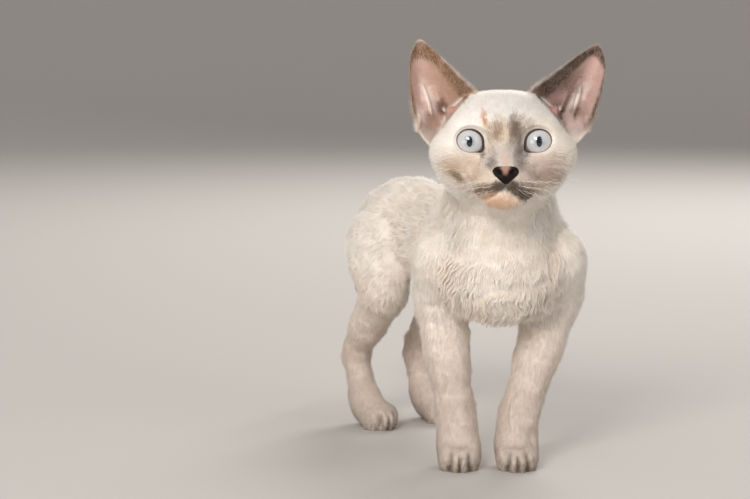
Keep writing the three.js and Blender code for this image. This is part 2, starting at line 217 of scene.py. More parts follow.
# The skin: the nodes of flesh are joined and evened, and set in by the depth of the coat.
skinBuild = {"voxel": 0.85 * mm, "bridge": 0.36 * mm, "eyeFiller": 9.55, "bodyKeep": 0.24, "setIn": 0.8,
             "mouth": 1.1, "groove": 0.7, "noseSunk": 1.8, "jaw": 1.7, "floor": 0.02 * mm}
zoneOf = {"forepaw": "paw", "hindpaw": "paw", "foreleg": "leg", "shank": "leg", "eye": "head"}
zoneKeys = ("depth", "even", "length", "width", "lift", "density", "wave")
zones = {   # lengths in millimetres; density is tufts for each square millimetre
    "head": (0.75, 0.42, 2.7, 0.24, 0.34, 5.8, 0.12),
    "nose": (0.75, 0.20, 1.0, 0.16, 0.25, 6.0, 0.00),
    "ear": (0.30, 0.18, 1.7, 0.19, 0.34, 5.0, 0.05),
    "neck": (1.60, 1.00, 4.2, 0.25, 0.28, 2.30, 0.42),
    "trunk": (2.00, 1.00, 5.7, 0.31, 0.25, 1.50, 0.85),
    "thigh": (1.70, 1.00, 4.9, 0.29, 0.25, 1.60, 0.70),
    "leg": (1.10, 0.70, 2.9, 0.25, 0.38, 2.62, 0.55),
    "paw": (0.65, 0.80, 2.2, 0.22, 0.38, 4.6, 0.16),
    "tail": (1.30, 0.80, 3.2, 0.26, 0.24, 2.30, 0.18),
}
# The eyes, in the head's millimetres and in degrees; the outline is an oval with a corner towards the nose.
eyeLook = {"ball": 9.0, "ballSide": 16.2, "behind": 7.4, "middle": (16.55, 0.35), "half": (6.25, 5.45),
           "slant": 10, "gaze": 3.5, "corner": 1.5, "cornerAngle": -38, "cornerWidth": 14,
           "lidEdge": 0.12, "lid": (0.22, 5.2, 9)}
mouthLine = [(0, -22.6), (2.2, -24.4), (5.2, -26.2), (9.0, -27.4), (13.0, -27.4), (16.0, -25.8)]
grooveLine = [(0, -20), (0, -22.6)]
earMiddle = (31, 8)   # side and height of the middle of the ear's outline
# Height and side of the edge between the forehead's coat and the ear.
earMouth = [(6, 29), (7.2, 28), (11.3, 23.6), (16.6, 21), (20, 18.5), (26, 14)]
earFolds = [   # soft folds in the cup of the ear: centre, radii and lean in degrees, for the left ear
    ((25.4, 10.6, 14.4), (3.0, 3.4, 3.8), 0),
    ((31.0, 17.5, 22.0), (1.5, 2.6, 9.0), 24),
    ((36.5, 14.5, 20.5), (1.5, 2.4, 8.5), 16),
    ((41.2, 10.2, 9.5), (2.0, 2.6, 5.0), -10),
]


def addBall(shape, middle, radii, lean, sign):
    place = Matrix.Translation(headPoint(middle[0] * sign, middle[1], middle[2])) @ headTurn.to_4x4()
    turn = Matrix.Rotation(math.radians(lean * sign), 4, "Y")
    size = Matrix.Diagonal((*[r * mm for r in radii], 1))
    bmesh.ops.create_icosphere(shape, subdivisions=4, radius=1, matrix=place @ turn @ size)


def fleshShape():
    joined = bmesh.new()
    for name in nodeNames:
        if name.startswith("eye"):
            continue
        part = bmesh.new()
        part.from_mesh(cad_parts[name].data)
        bmesh.ops.remove_doubles(part, verts=part.verts, dist=1e-5)
        part.normal_update()
        for v in part.verts:
            v.co += v.normal * skinBuild["bridge"]
        spare = bpy.data.meshes.new("spare")
        part.to_mesh(spare)
        part.free()
        joined.from_mesh(spare)
        bpy.data.meshes.remove(spare)
    fill = [skinBuild["eyeFiller"]] * 3
    for sign in sides.values():
        for middle, radii, lean in [((eyeLook["ballSide"], 0, 0), fill, 0)] + earFolds:
            addBall(joined, middle, radii, lean, sign)
    return joined


def nearLine(x, z, line):   # distance in the front view to a line of points
    best = np.full(len(x), 1e9)
    for (x0, z0), (x1, z1) in zip(line, line[1:]):
        run = max((x1 - x0) ** 2 + (z1 - z0) ** 2, 1e-9)
        t = np.clip(((x - x0) * (x1 - x0) + (z - z0) * (z1 - z0)) / run, 0, 1)
        best = np.minimum(best, np.hypot(x - x0 - t * (x1 - x0), z - z0 - t * (z1 - z0)))
    return best


def eyeReach(angle):   # the eye's outline from its middle; angle 0 points to the nose and 90 upwards
    look = eyeLook
    slanted = angle + math.radians(look["slant"])
    plain = 1 / np.hypot(np.cos(slanted) / look["half"][0], np.sin(slanted) / look["half"][1])
    turn = np.degrees(np.angle(np.exp(1j * (angle - math.radians(look["cornerAngle"])))))
    return plain + look["corner"] * bell(turn, look["cornerWidth"])


def eyeShare(local, sign):   # 1 on the eye's outline, less inside it
    x = -(local[:, 0] * sign - eyeLook["middle"][0])
    z = local[:, 2] - eyeLook["middle"][1]
    return np.hypot(x, z) / eyeReach(np.arctan2(z, x))


def inEarMouth(local, sign):   # the bare skin between the forehead's coat and the hollow of the ear
    side, height = local[:, 0] * sign, local[:, 2]
    edge = np.interp(height, *zip(*earMouth))
    return (side > edge) & (height > 6) & (height < 25) & (np.abs(local[:, 1] - 8) < 5)


def earEdge(local, ear, sign):   # how far points of an ear lie inside its outline, and the inner side
    x, z = local[:, 0] * sign - earMiddle[0], local[:, 2] - earMiddle[1]
    angle, reach = np.degrees(np.arctan2(z, x)), np.hypot(x, z)
    place = (angle + 180) / 4
    slot = np.clip(place.astype(int), 0, 89)
    most = np.zeros(90)
    np.maximum.at(most, slot[ear], reach[ear])
    return (np.interp(place - 0.5, np.arange(90), most) - reach) * 0.85, ramp(angle, 66, 80)


def ballFront(radius, aside):   # how far ahead a ball round the eye's centre reaches, away from its axis
    return -np.sqrt(np.maximum(radius ** 2 - aside, 0.5))


def fromEyeAxis(local, sign):
    return (local[:, 0] - eyeLook["ballSide"] * sign) ** 2 + local[:, 2] ** 2


# Inside each eye's outline the skin goes in behind the eyeball, and its edge follows the ball.
def openEyes(points):
    shareOfBoth = np.full(len(points), 9.0)
    local = toHead(points)
    ball, edge, (start, slant, curve) = eyeLook["ball"], eyeLook["lidEdge"], eyeLook["lid"]
    for sign in sides.values():
        share = eyeShare(local, sign)
        aside = fromEyeAxis(local, sign)
        near = (local[:, 1] < -1.5) & (aside < 17 ** 2)
        past = np.clip(share - 1, 0, 3)
        slope = ball + start + slant * past + curve * past ** 2
        lid = np.minimum(np.maximum(local[:, 1], ballFront(slope, aside)), ballFront(ball + edge, aside))
        inner = np.where(share < 1, ballFront(eyeLook["behind"], aside), lid)
        local[:, 1] = np.where(near, inner, local[:, 1])
        rim = near & (np.abs(share - 1) < 0.10)
        for axis, middle in ((0, eyeLook["middle"][0] * sign), (2, eyeLook["middle"][1])):
            local[rim, axis] = middle + (local[rim, axis] - middle) / share[rim]
        local[rim, 1] = ballFront(ball + edge, fromEyeAxis(local, sign))[rim]
        shareOfBoth = np.where(near, np.minimum(shareOfBoth, share), shareOfBoth)
    return local @ headAxes.T * mm + np.array(headPlace), shareOfBoth


def refineEyes(mesh):   # twice as many points round the eyes, so that their outline comes out even
    local = toHead(readPoints(mesh))
    near = np.zeros(len(local), bool)
    for sign in sides.values():
        share = eyeShare(local, sign)
        near |= (local[:, 1] < -2) & (share > 0.75) & (share < 1.6)
    shape = bmesh.new()
    shape.from_mesh(mesh)
    shape.verts.ensure_lookup_table()
    edges = [e for e in shape.edges if near[e.verts[0].index] and near[e.verts[1].index]]
    bmesh.ops.subdivide_edges(shape, edges=edges, cuts=1, use_grid_fill=True)
    shape.to_mesh(mesh)
    shape.free()


# Each paw's own frame, in the body's millimetres: its middle, and its turn in degrees.
paws = [((9.0, 0.0), 0), ((-20.0, 0.0), 0), ((-28.7, 130.0), 30), ((-63.3, 110.0), 30)]
toeLook = {"gaps": (-5.0, 0.0, 5.0), "width": 0.70, "depth": 1.7, "from": 11, "to": 17, "top": 11.5,
           "slope": 2.0, "slopeFrom": 6.0, "slopeTo": 13.0}


def toeGaps(body, normals):   # 1 in the gaps between the toes, and how far the toes' tops slope back
    gaps, brow = np.zeros((2, len(body)))
    height = body[:, 2]
    for (x, y), turn in paws:
        c, s = math.cos(math.radians(turn)), math.sin(math.radians(turn))
        across = (body[:, 0] - x) * c + (body[:, 1] - y) * s
        ahead = (body[:, 0] - x) * s - (body[:, 1] - y) * c
        near = (1 - ramp(np.abs(across), 8, 12)) * ramp(ahead, toeLook["from"], toeLook["to"])
        facing = np.clip(normals[:, 0] * s - normals[:, 1] * c, 0, 1)
        slope = ramp(height, toeLook["slopeFrom"], toeLook["slopeTo"]) * (1 - ramp(height, 15, 22))
        brow = np.maximum(brow, near * facing * slope)
        near *= 1 - ramp(height, toeLook["top"] - 4, toeLook["top"])
        for gap in toeLook["gaps"]:
            gaps = np.maximum(gaps, near * bell(across - gap * (1 + 0.012 * (ahead - 14)), toeLook["width"]))
    return gaps, brow


def pressedIn(points, normals, edges, zone, value):   # mouth, nose, toes and jaw, and the coat's own depth
    local = toHead(points)
    side, height = np.abs(local[:, 0]), local[:, 2]
    front = (local[:, 1] < -4) & (zone != "ear")
    mouth = bell(nearLine(side, height, mouthLine), 0.8) * front
    groove = bell(nearLine(side, height, grooveLine), 0.6) * front
    sunk = evened((zone == "nose") * skinBuild["noseSunk"], edges, 2)
    gaps, brow = toeGaps(toBody(points), normals)
    # the toe gaps' mask both dents the skin and, in the markings, darkens it as painted shade
    value["toeGap"] = gaps * (zone == "paw")
    dents = skinBuild["mouth"] * mouth + skinBuild["groove"] * groove + sunk
    dents = dents + toeLook["depth"] * value["toeGap"] + toeLook["slope"] * brow
    jaw = bell(height + 28.5, 3.6) * bell(side - 11.5, 3.5) * ramp(-local[:, 1], 6, 12) * (zone == "head")
    return value["depth"] * skinBuild["setIn"] + dents - skinBuild["jaw"] * jaw


coatShape = {   # millimetres of length, shares of lift, and tufts for each square millimetre
    "band": 1.5, "bandInner": 4.0, "bandTip": 3.2,
    "fringeLength": 0.5, "fringeLift": 0.35, "fringeDensity": 3.0,
    "ruffLength": 1.5, "ruffLift": 0.20, "cheekLength": 0.8, "cheekLift": 0.28,
}


def describeEars(local, facing, edges, zone, value):   # hollow, coloured band in the rim, and fringe
    inside, band, fringe = np.zeros((3, len(local)))
    height = local[:, 2]
    for sign in sides.values():
        ear = (zone == "ear") & (local[:, 0] * sign > 0)
        inside[ear & ((facing[:, 1] < 0.1) | (inEarMouth(local, sign) & (facing[:, 1] < 0.35)))] = 1
        gap, inner = earEdge(local, ear, sign)
        reach = coatShape["band"] + coatShape["bandInner"] * inner
        reach = reach + coatShape["bandTip"] * ramp(height, 34, 47)
        band[ear] = ((1 - ramp(gap, reach, reach + 2.4)) * ramp(height, 3, 12))[ear]
        fringe[ear] = ((1 - ramp(gap, 0.5, 1.3)) * ramp(height, 2, 9))[ear]
    fringe = value["fringe"] = evened(fringe, edges, 1)
    downy = (1 - ramp(height, 1, 10)) * ramp(np.abs(local[:, 0]), 21, 27)   # coat covers the ear's bottom
    value["earInside"] = evened(inside * (1 - 0.85 * downy), edges, 2) * (1 - 0.7 * fringe)
    value["earRim"] = evened(band * inside, edges, 1) * (1 - 0.35 * fringe)
    value["earBack"] = evened(((zone == "ear") & (inside < 0.5)) * 1.0, edges, 2) * (1 - 0.7 * fringe)
    value["length"] += (coatShape["fringeLength"] - 1.1 * ramp(height, 38, 45)) * fringe
    value["lift"] += coatShape["fringeLift"] * fringe
    value["density"] += coatShape["fringeDensity"] * fringe


def describeCoat(points, normals, edges, zone, value, share):
    local, body = toHead(points), toBody(points)
    describeEars(local, normals @ headAxes, edges, zone, value)
    value["eyeEdge"] = 1 - ramp(share, 1.03, 1.12)
    value["pad"] = ((zone == "paw") & (points[:, 2] < 1.3 * mm) & (normals[:, 2] < -0.8)) * 1.0
    value["bare"] = np.clip(value["eyeEdge"] + (zone == "nose") * 1.0 + value["pad"], 0, 1)
    value["fine"] = evened(np.isin(zone, ["head", "ear", "nose", "paw"]).astype(float), edges, 6)
    chest = (zone == "trunk") & (normals[:, 1] < -0.25) & (body[:, 2] < 126)
    value["chest"] = evened(chest.astype(float), edges, 10)
    # The coat is fuller and looser on the sides of the neck and on the shoulders.
    ruff = np.isin(zone, ["neck", "trunk"]) * ramp(np.abs(normals[:, 0]), 0.45, 0.85)
    ruff = evened(ruff * (1 - ramp(body[:, 1], 10, 40)), edges, 12)
    value["length"] += coatShape["ruffLength"] * ruff
    value["lift"] += coatShape["ruffLift"] * ruff
    # The coat is shortest round the nose and eyes, and fuller on the cheeks.
    onHead = np.isin(zone, ["head", "nose"])
    fromNose = np.linalg.norm(local - np.array([0, -25, -14]), axis=1)
    cheek = bell(np.linalg.norm(local * np.array([0, 1, 1]) - np.array([0, -5, -18]), axis=1), 8)
    cheek = cheek * ramp(np.abs(local[:, 0]), 14, 26)
    shape = (0.36 + 0.64 * ramp(fromNose, 5, 24)) * (0.42 + 0.58 * ramp(share, 1.05, 2.0))
    shape = shape * (1 + coatShape["cheekLength"] * cheek)
    value["length"] = np.where(onHead, value["length"] * shape, value["length"])
    value["lift"] = value["lift"] + coatShape["cheekLift"] * cheek * onHead
    for name in zones:
        value["zone" + name.capitalize()] = (zone == name).astype(float)


def makeSkin():
    skin = voxelRemesh(fromBmesh("skin", fleshShape()), skinBuild["voxel"])
    mesh = skin.data
    refineEyes(mesh)
    points, edges = readPoints(mesh), readEdges(mesh)
    kinds = [name.split("_")[0] for name in nodeNames]
    zone = np.array([zoneOf.get(kind, kind) for kind in kinds])[nearestNodes(points)]
    for sign in sides.values():
        zone[(zone == "head") & inEarMouth(toHead(points), sign)] = "ear"
    table = np.array([zones[name] for name in zone])
    table = np.hstack([evened(table[:, :2], edges, 14), evened(table[:, 2:], edges, 100)])
    value = dict(zip(zoneKeys, table.T))
    sole = (zone == "paw") & (points[:, 2] < 0.9 * mm)
    points = evened(points, edges, 34, 0.6, np.clip(value["even"], 0.05, 1) ** 1.6)
    writePoints(mesh, points)
    normals = readNormals(mesh)
    points -= normals * (pressedIn(points, normals, edges, zone, value) * mm)[:, None]
    points[sole, 2] = skinBuild["floor"]
    points[:, 2] = np.maximum(points[:, 2], skinBuild["floor"])
    points, share = openEyes(points)
    writePoints(mesh, points)
    describeCoat(points, readNormals(mesh), edges, zone, value, share)
    for key, array in value.items():
        setAttribute(mesh, key, array)
    return skin


def thinOut(obj, keep):   # fewer faces on the body, and all of them on face, ears and paws
    group = obj.vertex_groups.new(name="body")
    coarse = getAttribute(obj.data, "fine") < 0.5
    for index in np.nonzero(coarse)[0]:
        group.add([int(index)], 1.0, "REPLACE")
    decimate = obj.modifiers.new("decimate", "DECIMATE")
    decimate.ratio = 1 - float(coarse.mean()) * (1 - keep)
    decimate.vertex_group = "body"
    finishMesh(obj)
    obj.vertex_groups.clear()


skin = makeSkin()
print("skin joined:", len(skin.data.vertices), "points")
thinOut(skin, skinBuild["bodyKeep"])
smooth(skin.data)
print("skin thinned:", len(skin.data.vertices), "points")

# The lie of the coat: a direction for each point of the skin, laid flat on it and evened.
growthLines = {
    "spine": [(0, -30, 98), (0, 4, 103), (-6, 42, 106), (-21, 82, 108), (-40, 116, 110), (-58, 148, 114)],
    "tail": [(-54, 138, 122), (-62, 153, 118), (-68, 172, 100), (-70, 189, 77), (-66, 209, 60),
             (-59, 231, 53), (-52, 251, 58)],
}
growth = {
    "down": (0, 0, -1.0), "leg": (0, 0.18, -1.0), "forepaw": (0, -1.0, -0.5), "hindpaw": (0.5, -0.87, -0.5),
    "noseTip": (0, -24, -13.0), "earTip": (50.0, 12, 84), "earCup": (33, 0, 22),
}


def alongLine(points, line):   # the direction of the nearest stretch of a line
    line = np.array([bodyPoint(*p) for p in line])
    joints = [np.linspace(start, end, 12, endpoint=False) for start, end in zip(line, line[1:])]
    fine = np.concatenate(joints)
    way = unit(np.gradient(fine, axis=0))
    nearest = ((points[:, None, :] - fine[None]) ** 2).sum(2).argmin(1)
    return way[nearest]


def laidFlat(way, normals):
    return unit(way - normals * (way * normals).sum(1)[:, None])


def lieOfCoat(mesh):
    points, normals, edges = readPoints(mesh), readNormals(mesh), readEdges(mesh)
    local, body = toHead(points), toBody(points)
    within = {name: getAttribute(mesh, "zone" + name.capitalize()) > 0.5 for name in zones}
    ways = {name: np.array(place) for name, place in growth.items()}
    down = ways["down"]
    way = unit(unit(local - ways["noseTip"]) + np.array([0, 0.15, 0])) @ headAxes.T
    for sign in sides.values():
        middle = np.array([eyeLook["middle"][0] * sign, -6, eyeLook["middle"][1]])
        near = bell(np.maximum(eyeShare(local, sign) - 1, 0), 0.45) * (local[:, 1] < -1)
        way += (unit(local - middle) @ headAxes.T) * (1.7 * near)[:, None]
    chin = local[:, 2] < -24
    way[chin] = unit(way[chin] + down * 0.6)
    neck = within["neck"]
    backward = 0.25 + 0.7 * ramp(body[neck, 1], -20, 15)
    way[neck] = unit(np.stack([np.zeros(neck.sum()), backward, -np.ones(neck.sum())], 1))
    trunk = within["trunk"] | within["thigh"]
    flank = ramp(-normals[trunk, 2], -0.75, 0.2)
    breast = ramp(-body[trunk, 1], -2, 26)
    back = alongLine(points[trunk], growthLines["spine"]) * (1 - breast)[:, None]
    way[trunk] = unit(back + down * (0.45 * flank + 1.3 * breast)[:, None])
    way[within["leg"]] = ways["leg"]
    way[within["thigh"]] = unit(way[within["thigh"]] + down * 0.9)
    paw = within["paw"]
    forward = np.where(body[paw, 1:2] > 40, ways["hindpaw"][None], ways["forepaw"][None])
    way[paw] = unit(forward + down * ramp(body[paw, 2], 10, 22)[:, None] * 2)
    way[within["tail"]] = alongLine(points[within["tail"]], growthLines["tail"])
    fringe = getAttribute(mesh, "fringe")
    for sign in sides.values():
        mine = within["ear"] & (local[:, 0] * sign > 0)
        mirror = np.array([sign, 1, 1])
        outward = unit((local[mine] - ways["earCup"] * mirror) * np.array([1, 0, 1])) * fringe[mine][:, None]
        way[mine] = (unit(ways["earTip"] * mirror - local[mine]) + outward) @ headAxes.T
    flat = laidFlat(way, normals)
    for _ in range(4):
        flat = laidFlat(evened(flat, edges, 12), normals)
    return flat


waveLook = {"across": 11.5, "slant": (0, 0.75, -0.85), "sway": 0.75, "height": 0.48,
            "stray": ((34, 3, 2.6), (15, 4, 1.9), (9, 6, 0.7))}   # scale, seed and strength


def waveField(points, scale, seed):   # a smooth random value between -1 and 1
    source = np.random.default_rng(seed)
    total = np.zeros(len(points))
    for _ in range(7):
        direction = unit(source.normal(size=3)) * source.uniform(0.6, 1.4) / scale
        total += np.sin(points @ direction * 2 * math.pi + source.uniform(0, 6.28))
    return total / 3.2


def ripplePhase(inch):   # the waves of the coat, which lie across its growth
    downhill = inch @ np.array(waveLook["slant"])
    strayed = sum(waveField(inch, scale, seed) * strength for scale, seed, strength in waveLook["stray"])
    return downhill * 2 * math.pi / waveLook["across"] + strayed


def rippleSkin(mesh):
    points, normals = readPoints(mesh), readNormals(mesh)
    share = ramp(getAttribute(mesh, "wave"), 0.2, 0.9)
    height = waveLook["height"] * share * np.sin(ripplePhase(toBody(points)))
    writePoints(mesh, points + normals * (height * mm)[:, None])


skinWay = lieOfCoat(skin.data)
rippleSkin(skin.data)


# An unwrap of a light copy of the skin gives every tuft its place on the OFBake map.
def makeUnwrap(obj):
    light = linked("unwrap", obj.data.copy())
    decimate = light.modifiers.new("decimate", "DECIMATE")
    decimate.ratio = 0.06
    finishMesh(light)
    bpy.ops.object.select_all(action="DESELECT")
    light.select_set(True)
    bpy.context.view_layer.objects.active = light
    bpy.ops.object.mode_set(mode="EDIT")
    bpy.ops.mesh.select_all(action="SELECT")
    bpy.ops.uv.smart_project(angle_limit=math.radians(60), island_margin=0.002)
    bpy.ops.object.mode_set(mode="OBJECT")
    mesh = light.data
    mesh.calc_loop_triangles()
    tree = BVHTree.FromPolygons([v.co for v in mesh.vertices], [t.vertices for t in mesh.loop_triangles])
    uv = mesh.uv_layers.active.data
    corners = [[Vector(uv[k].uv) for k in t.loops] for t in mesh.loop_triangles]
    shapes = [[mesh.vertices[k].co.copy() for k in t.vertices] for t in mesh.loop_triangles]
    bpy.data.objects.remove(light)
    return tree, corners, shapes


unwrapTree, unwrapCorners, unwrapShapes = makeUnwrap(skin)
print("unwrap ready:", len(unwrapShapes), "faces")


def unwrapPlaces(points):
    places = np.empty((len(points), 2))
    for i, point in enumerate(points):
        spot, _, face, _ = unwrapTree.find_nearest(point)
        a, b, c = unwrapShapes[face]
        u, v, w = b - a, c - a, spot - a
        uu, uv, vv, wu, wv = u.dot(u), u.dot(v), v.dot(v), w.dot(u), w.dot(v)
        area = max(uu * vv - uv * uv, 1e-18)
        s, t = (vv * wu - uv * wv) / area, (uu * wv - uv * wu) / area
        ua, ub, uc = unwrapCorners[face]
        places[i] = ua + (ub - ua) * s + (uc - ua) * t
    return np.clip(places, 0.002, 0.998)


# Tufts. Each is a thin three-sided spike that bends along a path, and many are joined in one mesh.
spikeLook = {"flat": 0.55, "upward": 0.40, "outward": 0.60, "round": 0.20, "uvWide": 0.0011, "uvLong": 0.0024}


def spikeFaces(rings):   # the corners of one spike's faces, their sizes, and which corners face the skin
    corner, sizes, under = [2, 1, 0], [3], [False] * 3
    for k in range(rings - 1):
        for j in range(3):
            here, beside = 3 * k + j, 3 * k + (j + 1) % 3
            ends = [3 * rings - 3] if k == rings - 2 else [beside + 3, here + 3]
            corner += [here, beside] + ends
            sizes.append(2 + len(ends))
            under += [j == 1] * sizes[-1]
    return np.array(corner), np.array(sizes, np.int32), np.array(under)


def spikeMesh(name, paths, radii, normal, places, extras, first):
    count, rings = paths.shape[:2]
    each = 3 * (rings - 1) + 1
    step = unit(np.diff(paths, axis=1))
    sideways = unit(np.cross(normal[:, None], step))
    upward = np.cross(step, sideways)
    angle = np.radians([90, 210, 330])
    points, shine, below = np.empty((3, count, each, 3), np.float32)
    for k in range(rings - 1):
        for j in range(3):
            offset = np.cos(angle[j]) * sideways[:, k] + spikeLook["flat"] * np.sin(angle[j]) * upward[:, k]
            points[:, 3 * k + j] = paths[:, k] + offset * radii[:, k, None]
            shine[:, 3 * k + j] = unit(spikeLook["upward"] * upward[:, k] + spikeLook["outward"] * normal
                                       + spikeLook["round"] * offset)
            below[:, 3 * k + j] = unit(offset - 0.6 * upward[:, k])
    points[:, -1] = paths[:, -1]
    shine[:, -1] = unit(spikeLook["upward"] * upward[:, -1] + spikeLook["outward"] * normal)
    below[:, -1] = -upward[:, -1]
    corner, sizes, under = spikeFaces(rings)
    light = np.where(under[None, :, None], below[:, corner], shine[:, corner])
    loops = (corner[None] + (np.arange(count) * each)[:, None]).astype(np.int32).ravel()
    mesh = bpy.data.meshes.new(name)
    mesh.vertices.add(count * each)
    mesh.vertices.foreach_set("co", points.ravel())
    mesh.loops.add(len(loops))
    mesh.loops.foreach_set("vertex_index", loops)
    sizes = np.tile(sizes, count)
    mesh.polygons.add(len(sizes))
    mesh.polygons.foreach_set("loop_start", np.concatenate([[0], np.cumsum(sizes)[:-1]]).astype(np.int32))
    smooth(mesh)
    mesh.update(calc_edges=True)
    ring = np.append(np.repeat(np.arange(rings - 1), 3), rings - 1) / (rings - 1)
    wide = np.append(np.tile([math.cos(a) for a in angle], rings - 1), 0) * spikeLook["uvWide"]
    around = np.stack([wide, ring * spikeLook["uvLong"] - spikeLook["uvLong"] / 2], 1)
    uv = (places[:, None, :] + around[corner][None]).astype(np.float32)
    layer = mesh.uv_layers.new(name="OFBake")
    layer.data.foreach_set("uv", uv.ravel())
    # along runs from the root to the tip and sets the painted shade at the tufts' roots
    setAttribute(mesh, "along", np.tile(first + (1 - first) * ring, count))
    for key, array in extras.items():
        setAttribute(mesh, key, np.repeat(array, each))
    mesh.normals_split_custom_set(light.reshape(-1, 3))
    return linked(name, mesh)


def scatter(mesh, way, wanted):   # roots spread evenly over the skin, and a function that reads values there
    mesh.calc_loop_triangles()
    tris = readArray(mesh.loop_triangles, "vertices", 3, np.int32)
    points, normals = readPoints(mesh), readNormals(mesh)
    p0, p1, p2 = points[tris[:, 0]], points[tris[:, 1]], points[tris[:, 2]]
    area = np.linalg.norm(np.cross(p1 - p0, p2 - p0), axis=1) / 2 / mm ** 2
    weight = wanted[tris].mean(1) * area
    total = int(weight.sum())
    steps = (np.arange(total) + draw.uniform(0, 1, total)) / total * weight.sum()
    chosen = np.minimum(np.searchsorted(np.cumsum(weight), steps), len(tris) - 1)
    r1, r2 = np.sqrt(draw.uniform(size=total)), draw.uniform(size=total)
    share = np.stack([1 - r1, r1 * (1 - r2), r1 * r2], 1)

    def spread(values):
        picked = values[tris[chosen]]
        return (picked * (share if values.ndim == 1 else share[..., None])).sum(1)

    return spread(points), unit(spread(normals)), unit(spread(way)), spread


coatBuild = {"clump": 3.2, "clumpPull": 0.30, "shortLimit": 3.3, "middleLimit": 6.6, "most": 194000,
             "lowest": 0.25 * mm, "swirl": 0.26, "curl": 2.4, "curlWave": 0.7, "ruffle": (0.20, 0.40)}
# the last column is where along starts at the root: the higher it is, the lighter the painted root shade
coatKinds = {   # thickness along each kind of tuft, how deep it is rooted, and how light it is at the root
    "Short": {"taper": (1.0,), "root": 0.12, "first": 0.55},
    "Soft": {"taper": (1.0, 0.95), "root": 0.20, "first": 0.25},
    "Wavy": {"taper": (1.0, 0.95, 0.76, 0.5), "root": 0.25, "first": 0.0},
}
skinValues = ("length", "width", "lift", "density", "wave", "bare")
coatValues = ("earInside", "earRim", "earBack", "toeGap", "chest")


def bent(way, normals, length, lift, wave, phase, hug, steps):   # the path of each tuft from its root
    length, lift, wave, phase, hug = (v[:, None, None] for v in (length, lift, wave, phase, hug))
    across = unit(np.cross(normals, way))[:, None, :]
    way, normals = way[:, None, :], normals[:, None, :]
    turns = 2 * math.pi / waveLook["across"] * length * (way @ np.array(waveLook["slant"]))[..., None]
    sway = waveLook["sway"] * wave * np.sin(steps * turns + phase + 1.2)
    rise = lift * (steps * 1.6 - steps ** 2 * 0.6) - length / (2 * hug) * steps ** 2
    return mm * (length * (steps * way + rise * normals) + sway * across)


def varied(values, low, high):
    return values * draw.uniform(low, high, len(values))


def findLocks(roots, inch, length):   # tufts that start near one another lean together into locks
    cell = coatBuild["clump"] * (0.45 + 0.09 * length)
    keys = np.floor(inch / cell[:, None] + 0.45 * waveField(inch, 5, 12)[:, None]).astype(np.int64)
    _, first, group = np.unique(keys, axis=0, return_index=True, return_inverse=True)
    group = group.ravel()
    middle = np.stack([np.bincount(group, roots[:, k]) for k in range(3)], 1) / np.bincount(group)[:, None]
    near = np.linalg.norm(middle[group] - roots, axis=1) < 1.1 * cell * mm
    near &= np.linalg.norm(roots[first[group]] - roots, axis=1) < 2.0 * cell * mm
    return first, group, middle, near


def layTufts(mesh, way):   # each tuft's root, way, size and lock
    value = {key: getAttribute(mesh, key) for key in skinValues + coatValues}
    hollow = value["earInside"] * (1 - value["earRim"])
    value["density"] = value["density"] * (1 - ramp(value["bare"], 0.2, 0.6)) * (1 - 0.8 * hollow)
    roots, normals, flow, spread = scatter(mesh, way, value["density"])
    tufts = {key: spread(array) for key, array in value.items()}
    length, wave, chest = tufts["length"], tufts["wave"], tufts["chest"]
    inch = toBody(roots)
    phase = ripplePhase(inch)
    stray = (0.08 + 0.09 * (length < 5))[:, None] * draw.normal(size=(len(roots), 3))
    swirl = (waveField(inch, 15, 8) + coatBuild["curl"] * chest * waveField(inch, 7, 21))[:, None]
    flow = unit(flow + stray + coatBuild["swirl"] * wave[:, None] * np.cross(normals, flow) * swirl)
    tufts.update(root=roots, normal=normals, flow=laidFlat(flow, normals), inch=inch, phase=phase)
    tufts["hug"] = np.where(length < 3.2, 26, np.clip(length * 4.4, 10, 36))
    tufts["length"] = varied(length, 0.75, 1.2) * (1 + 0.10 * chest)
    patches, ripples = coatBuild["ruffle"]
    ruffle = patches * waveField(inch, 7, 9) + ripples * np.sin(phase + 0.8)
    tufts["lift"] = varied(tufts["lift"], 0.6, 1.4) * (1 + wave * ruffle)
    tufts["radius"] = varied(tufts["width"] / 2, 0.8, 1.2)
    tufts["sway"] = varied(wave, 0.75, 1.2) * (1 + coatBuild["curlWave"] * chest)
    first, group, middle, near = findLocks(roots, inch, length)
    tufts["tint"] = 0.55 * draw.uniform(0, 1, len(roots)) + 0.45 * draw.uniform(0, 1, len(first))[group]
    tufts.update(leader=first[group], middle=middle[group], near=near)
    return tufts


def growPiece(name, look, tufts, chunk):
    t = {key: array[chunk] for key, array in tufts.items()}
    root, normal, wave = t["root"], t["normal"], t["wave"]
    blend = (0.6 * (0.25 + 0.75 * wave) * t["near"])[:, None]
    lead = laidFlat(unit(t["flow"] * (1 - blend) + tufts["flow"][t["leader"]] * blend), normal)
    phase = t["phase"] * 0.6 + tufts["phase"][t["leader"]] * 0.4
    steps = np.linspace(0, 1, len(look["taper"]) + 1)[None, :, None]
    path = bent(lead, normal, t["length"], t["lift"], t["sway"], phase, t["hug"], steps)
    pull = (coatBuild["clumpPull"] * np.clip(wave * 1.5, 0.12, 1))[:, None, None] * steps ** 1.3
    gather = (t["middle"] - root) * t["near"][:, None]
    gather -= normal * (gather * normal).sum(1)[:, None]
    path = (root - normal * look["root"] * mm)[:, None] + path + pull * gather[:, None]
    path[:, :, 2] = np.maximum(path[:, :, 2], coatBuild["lowest"])
    radii = t["radius"][:, None] * np.array(look["taper"])[None] * mm
    extras = {key: t[key] for key in ("tint",) + coatValues}
    return spikeMesh(name, path, radii, normal, unwrapPlaces(root), extras, look["first"])


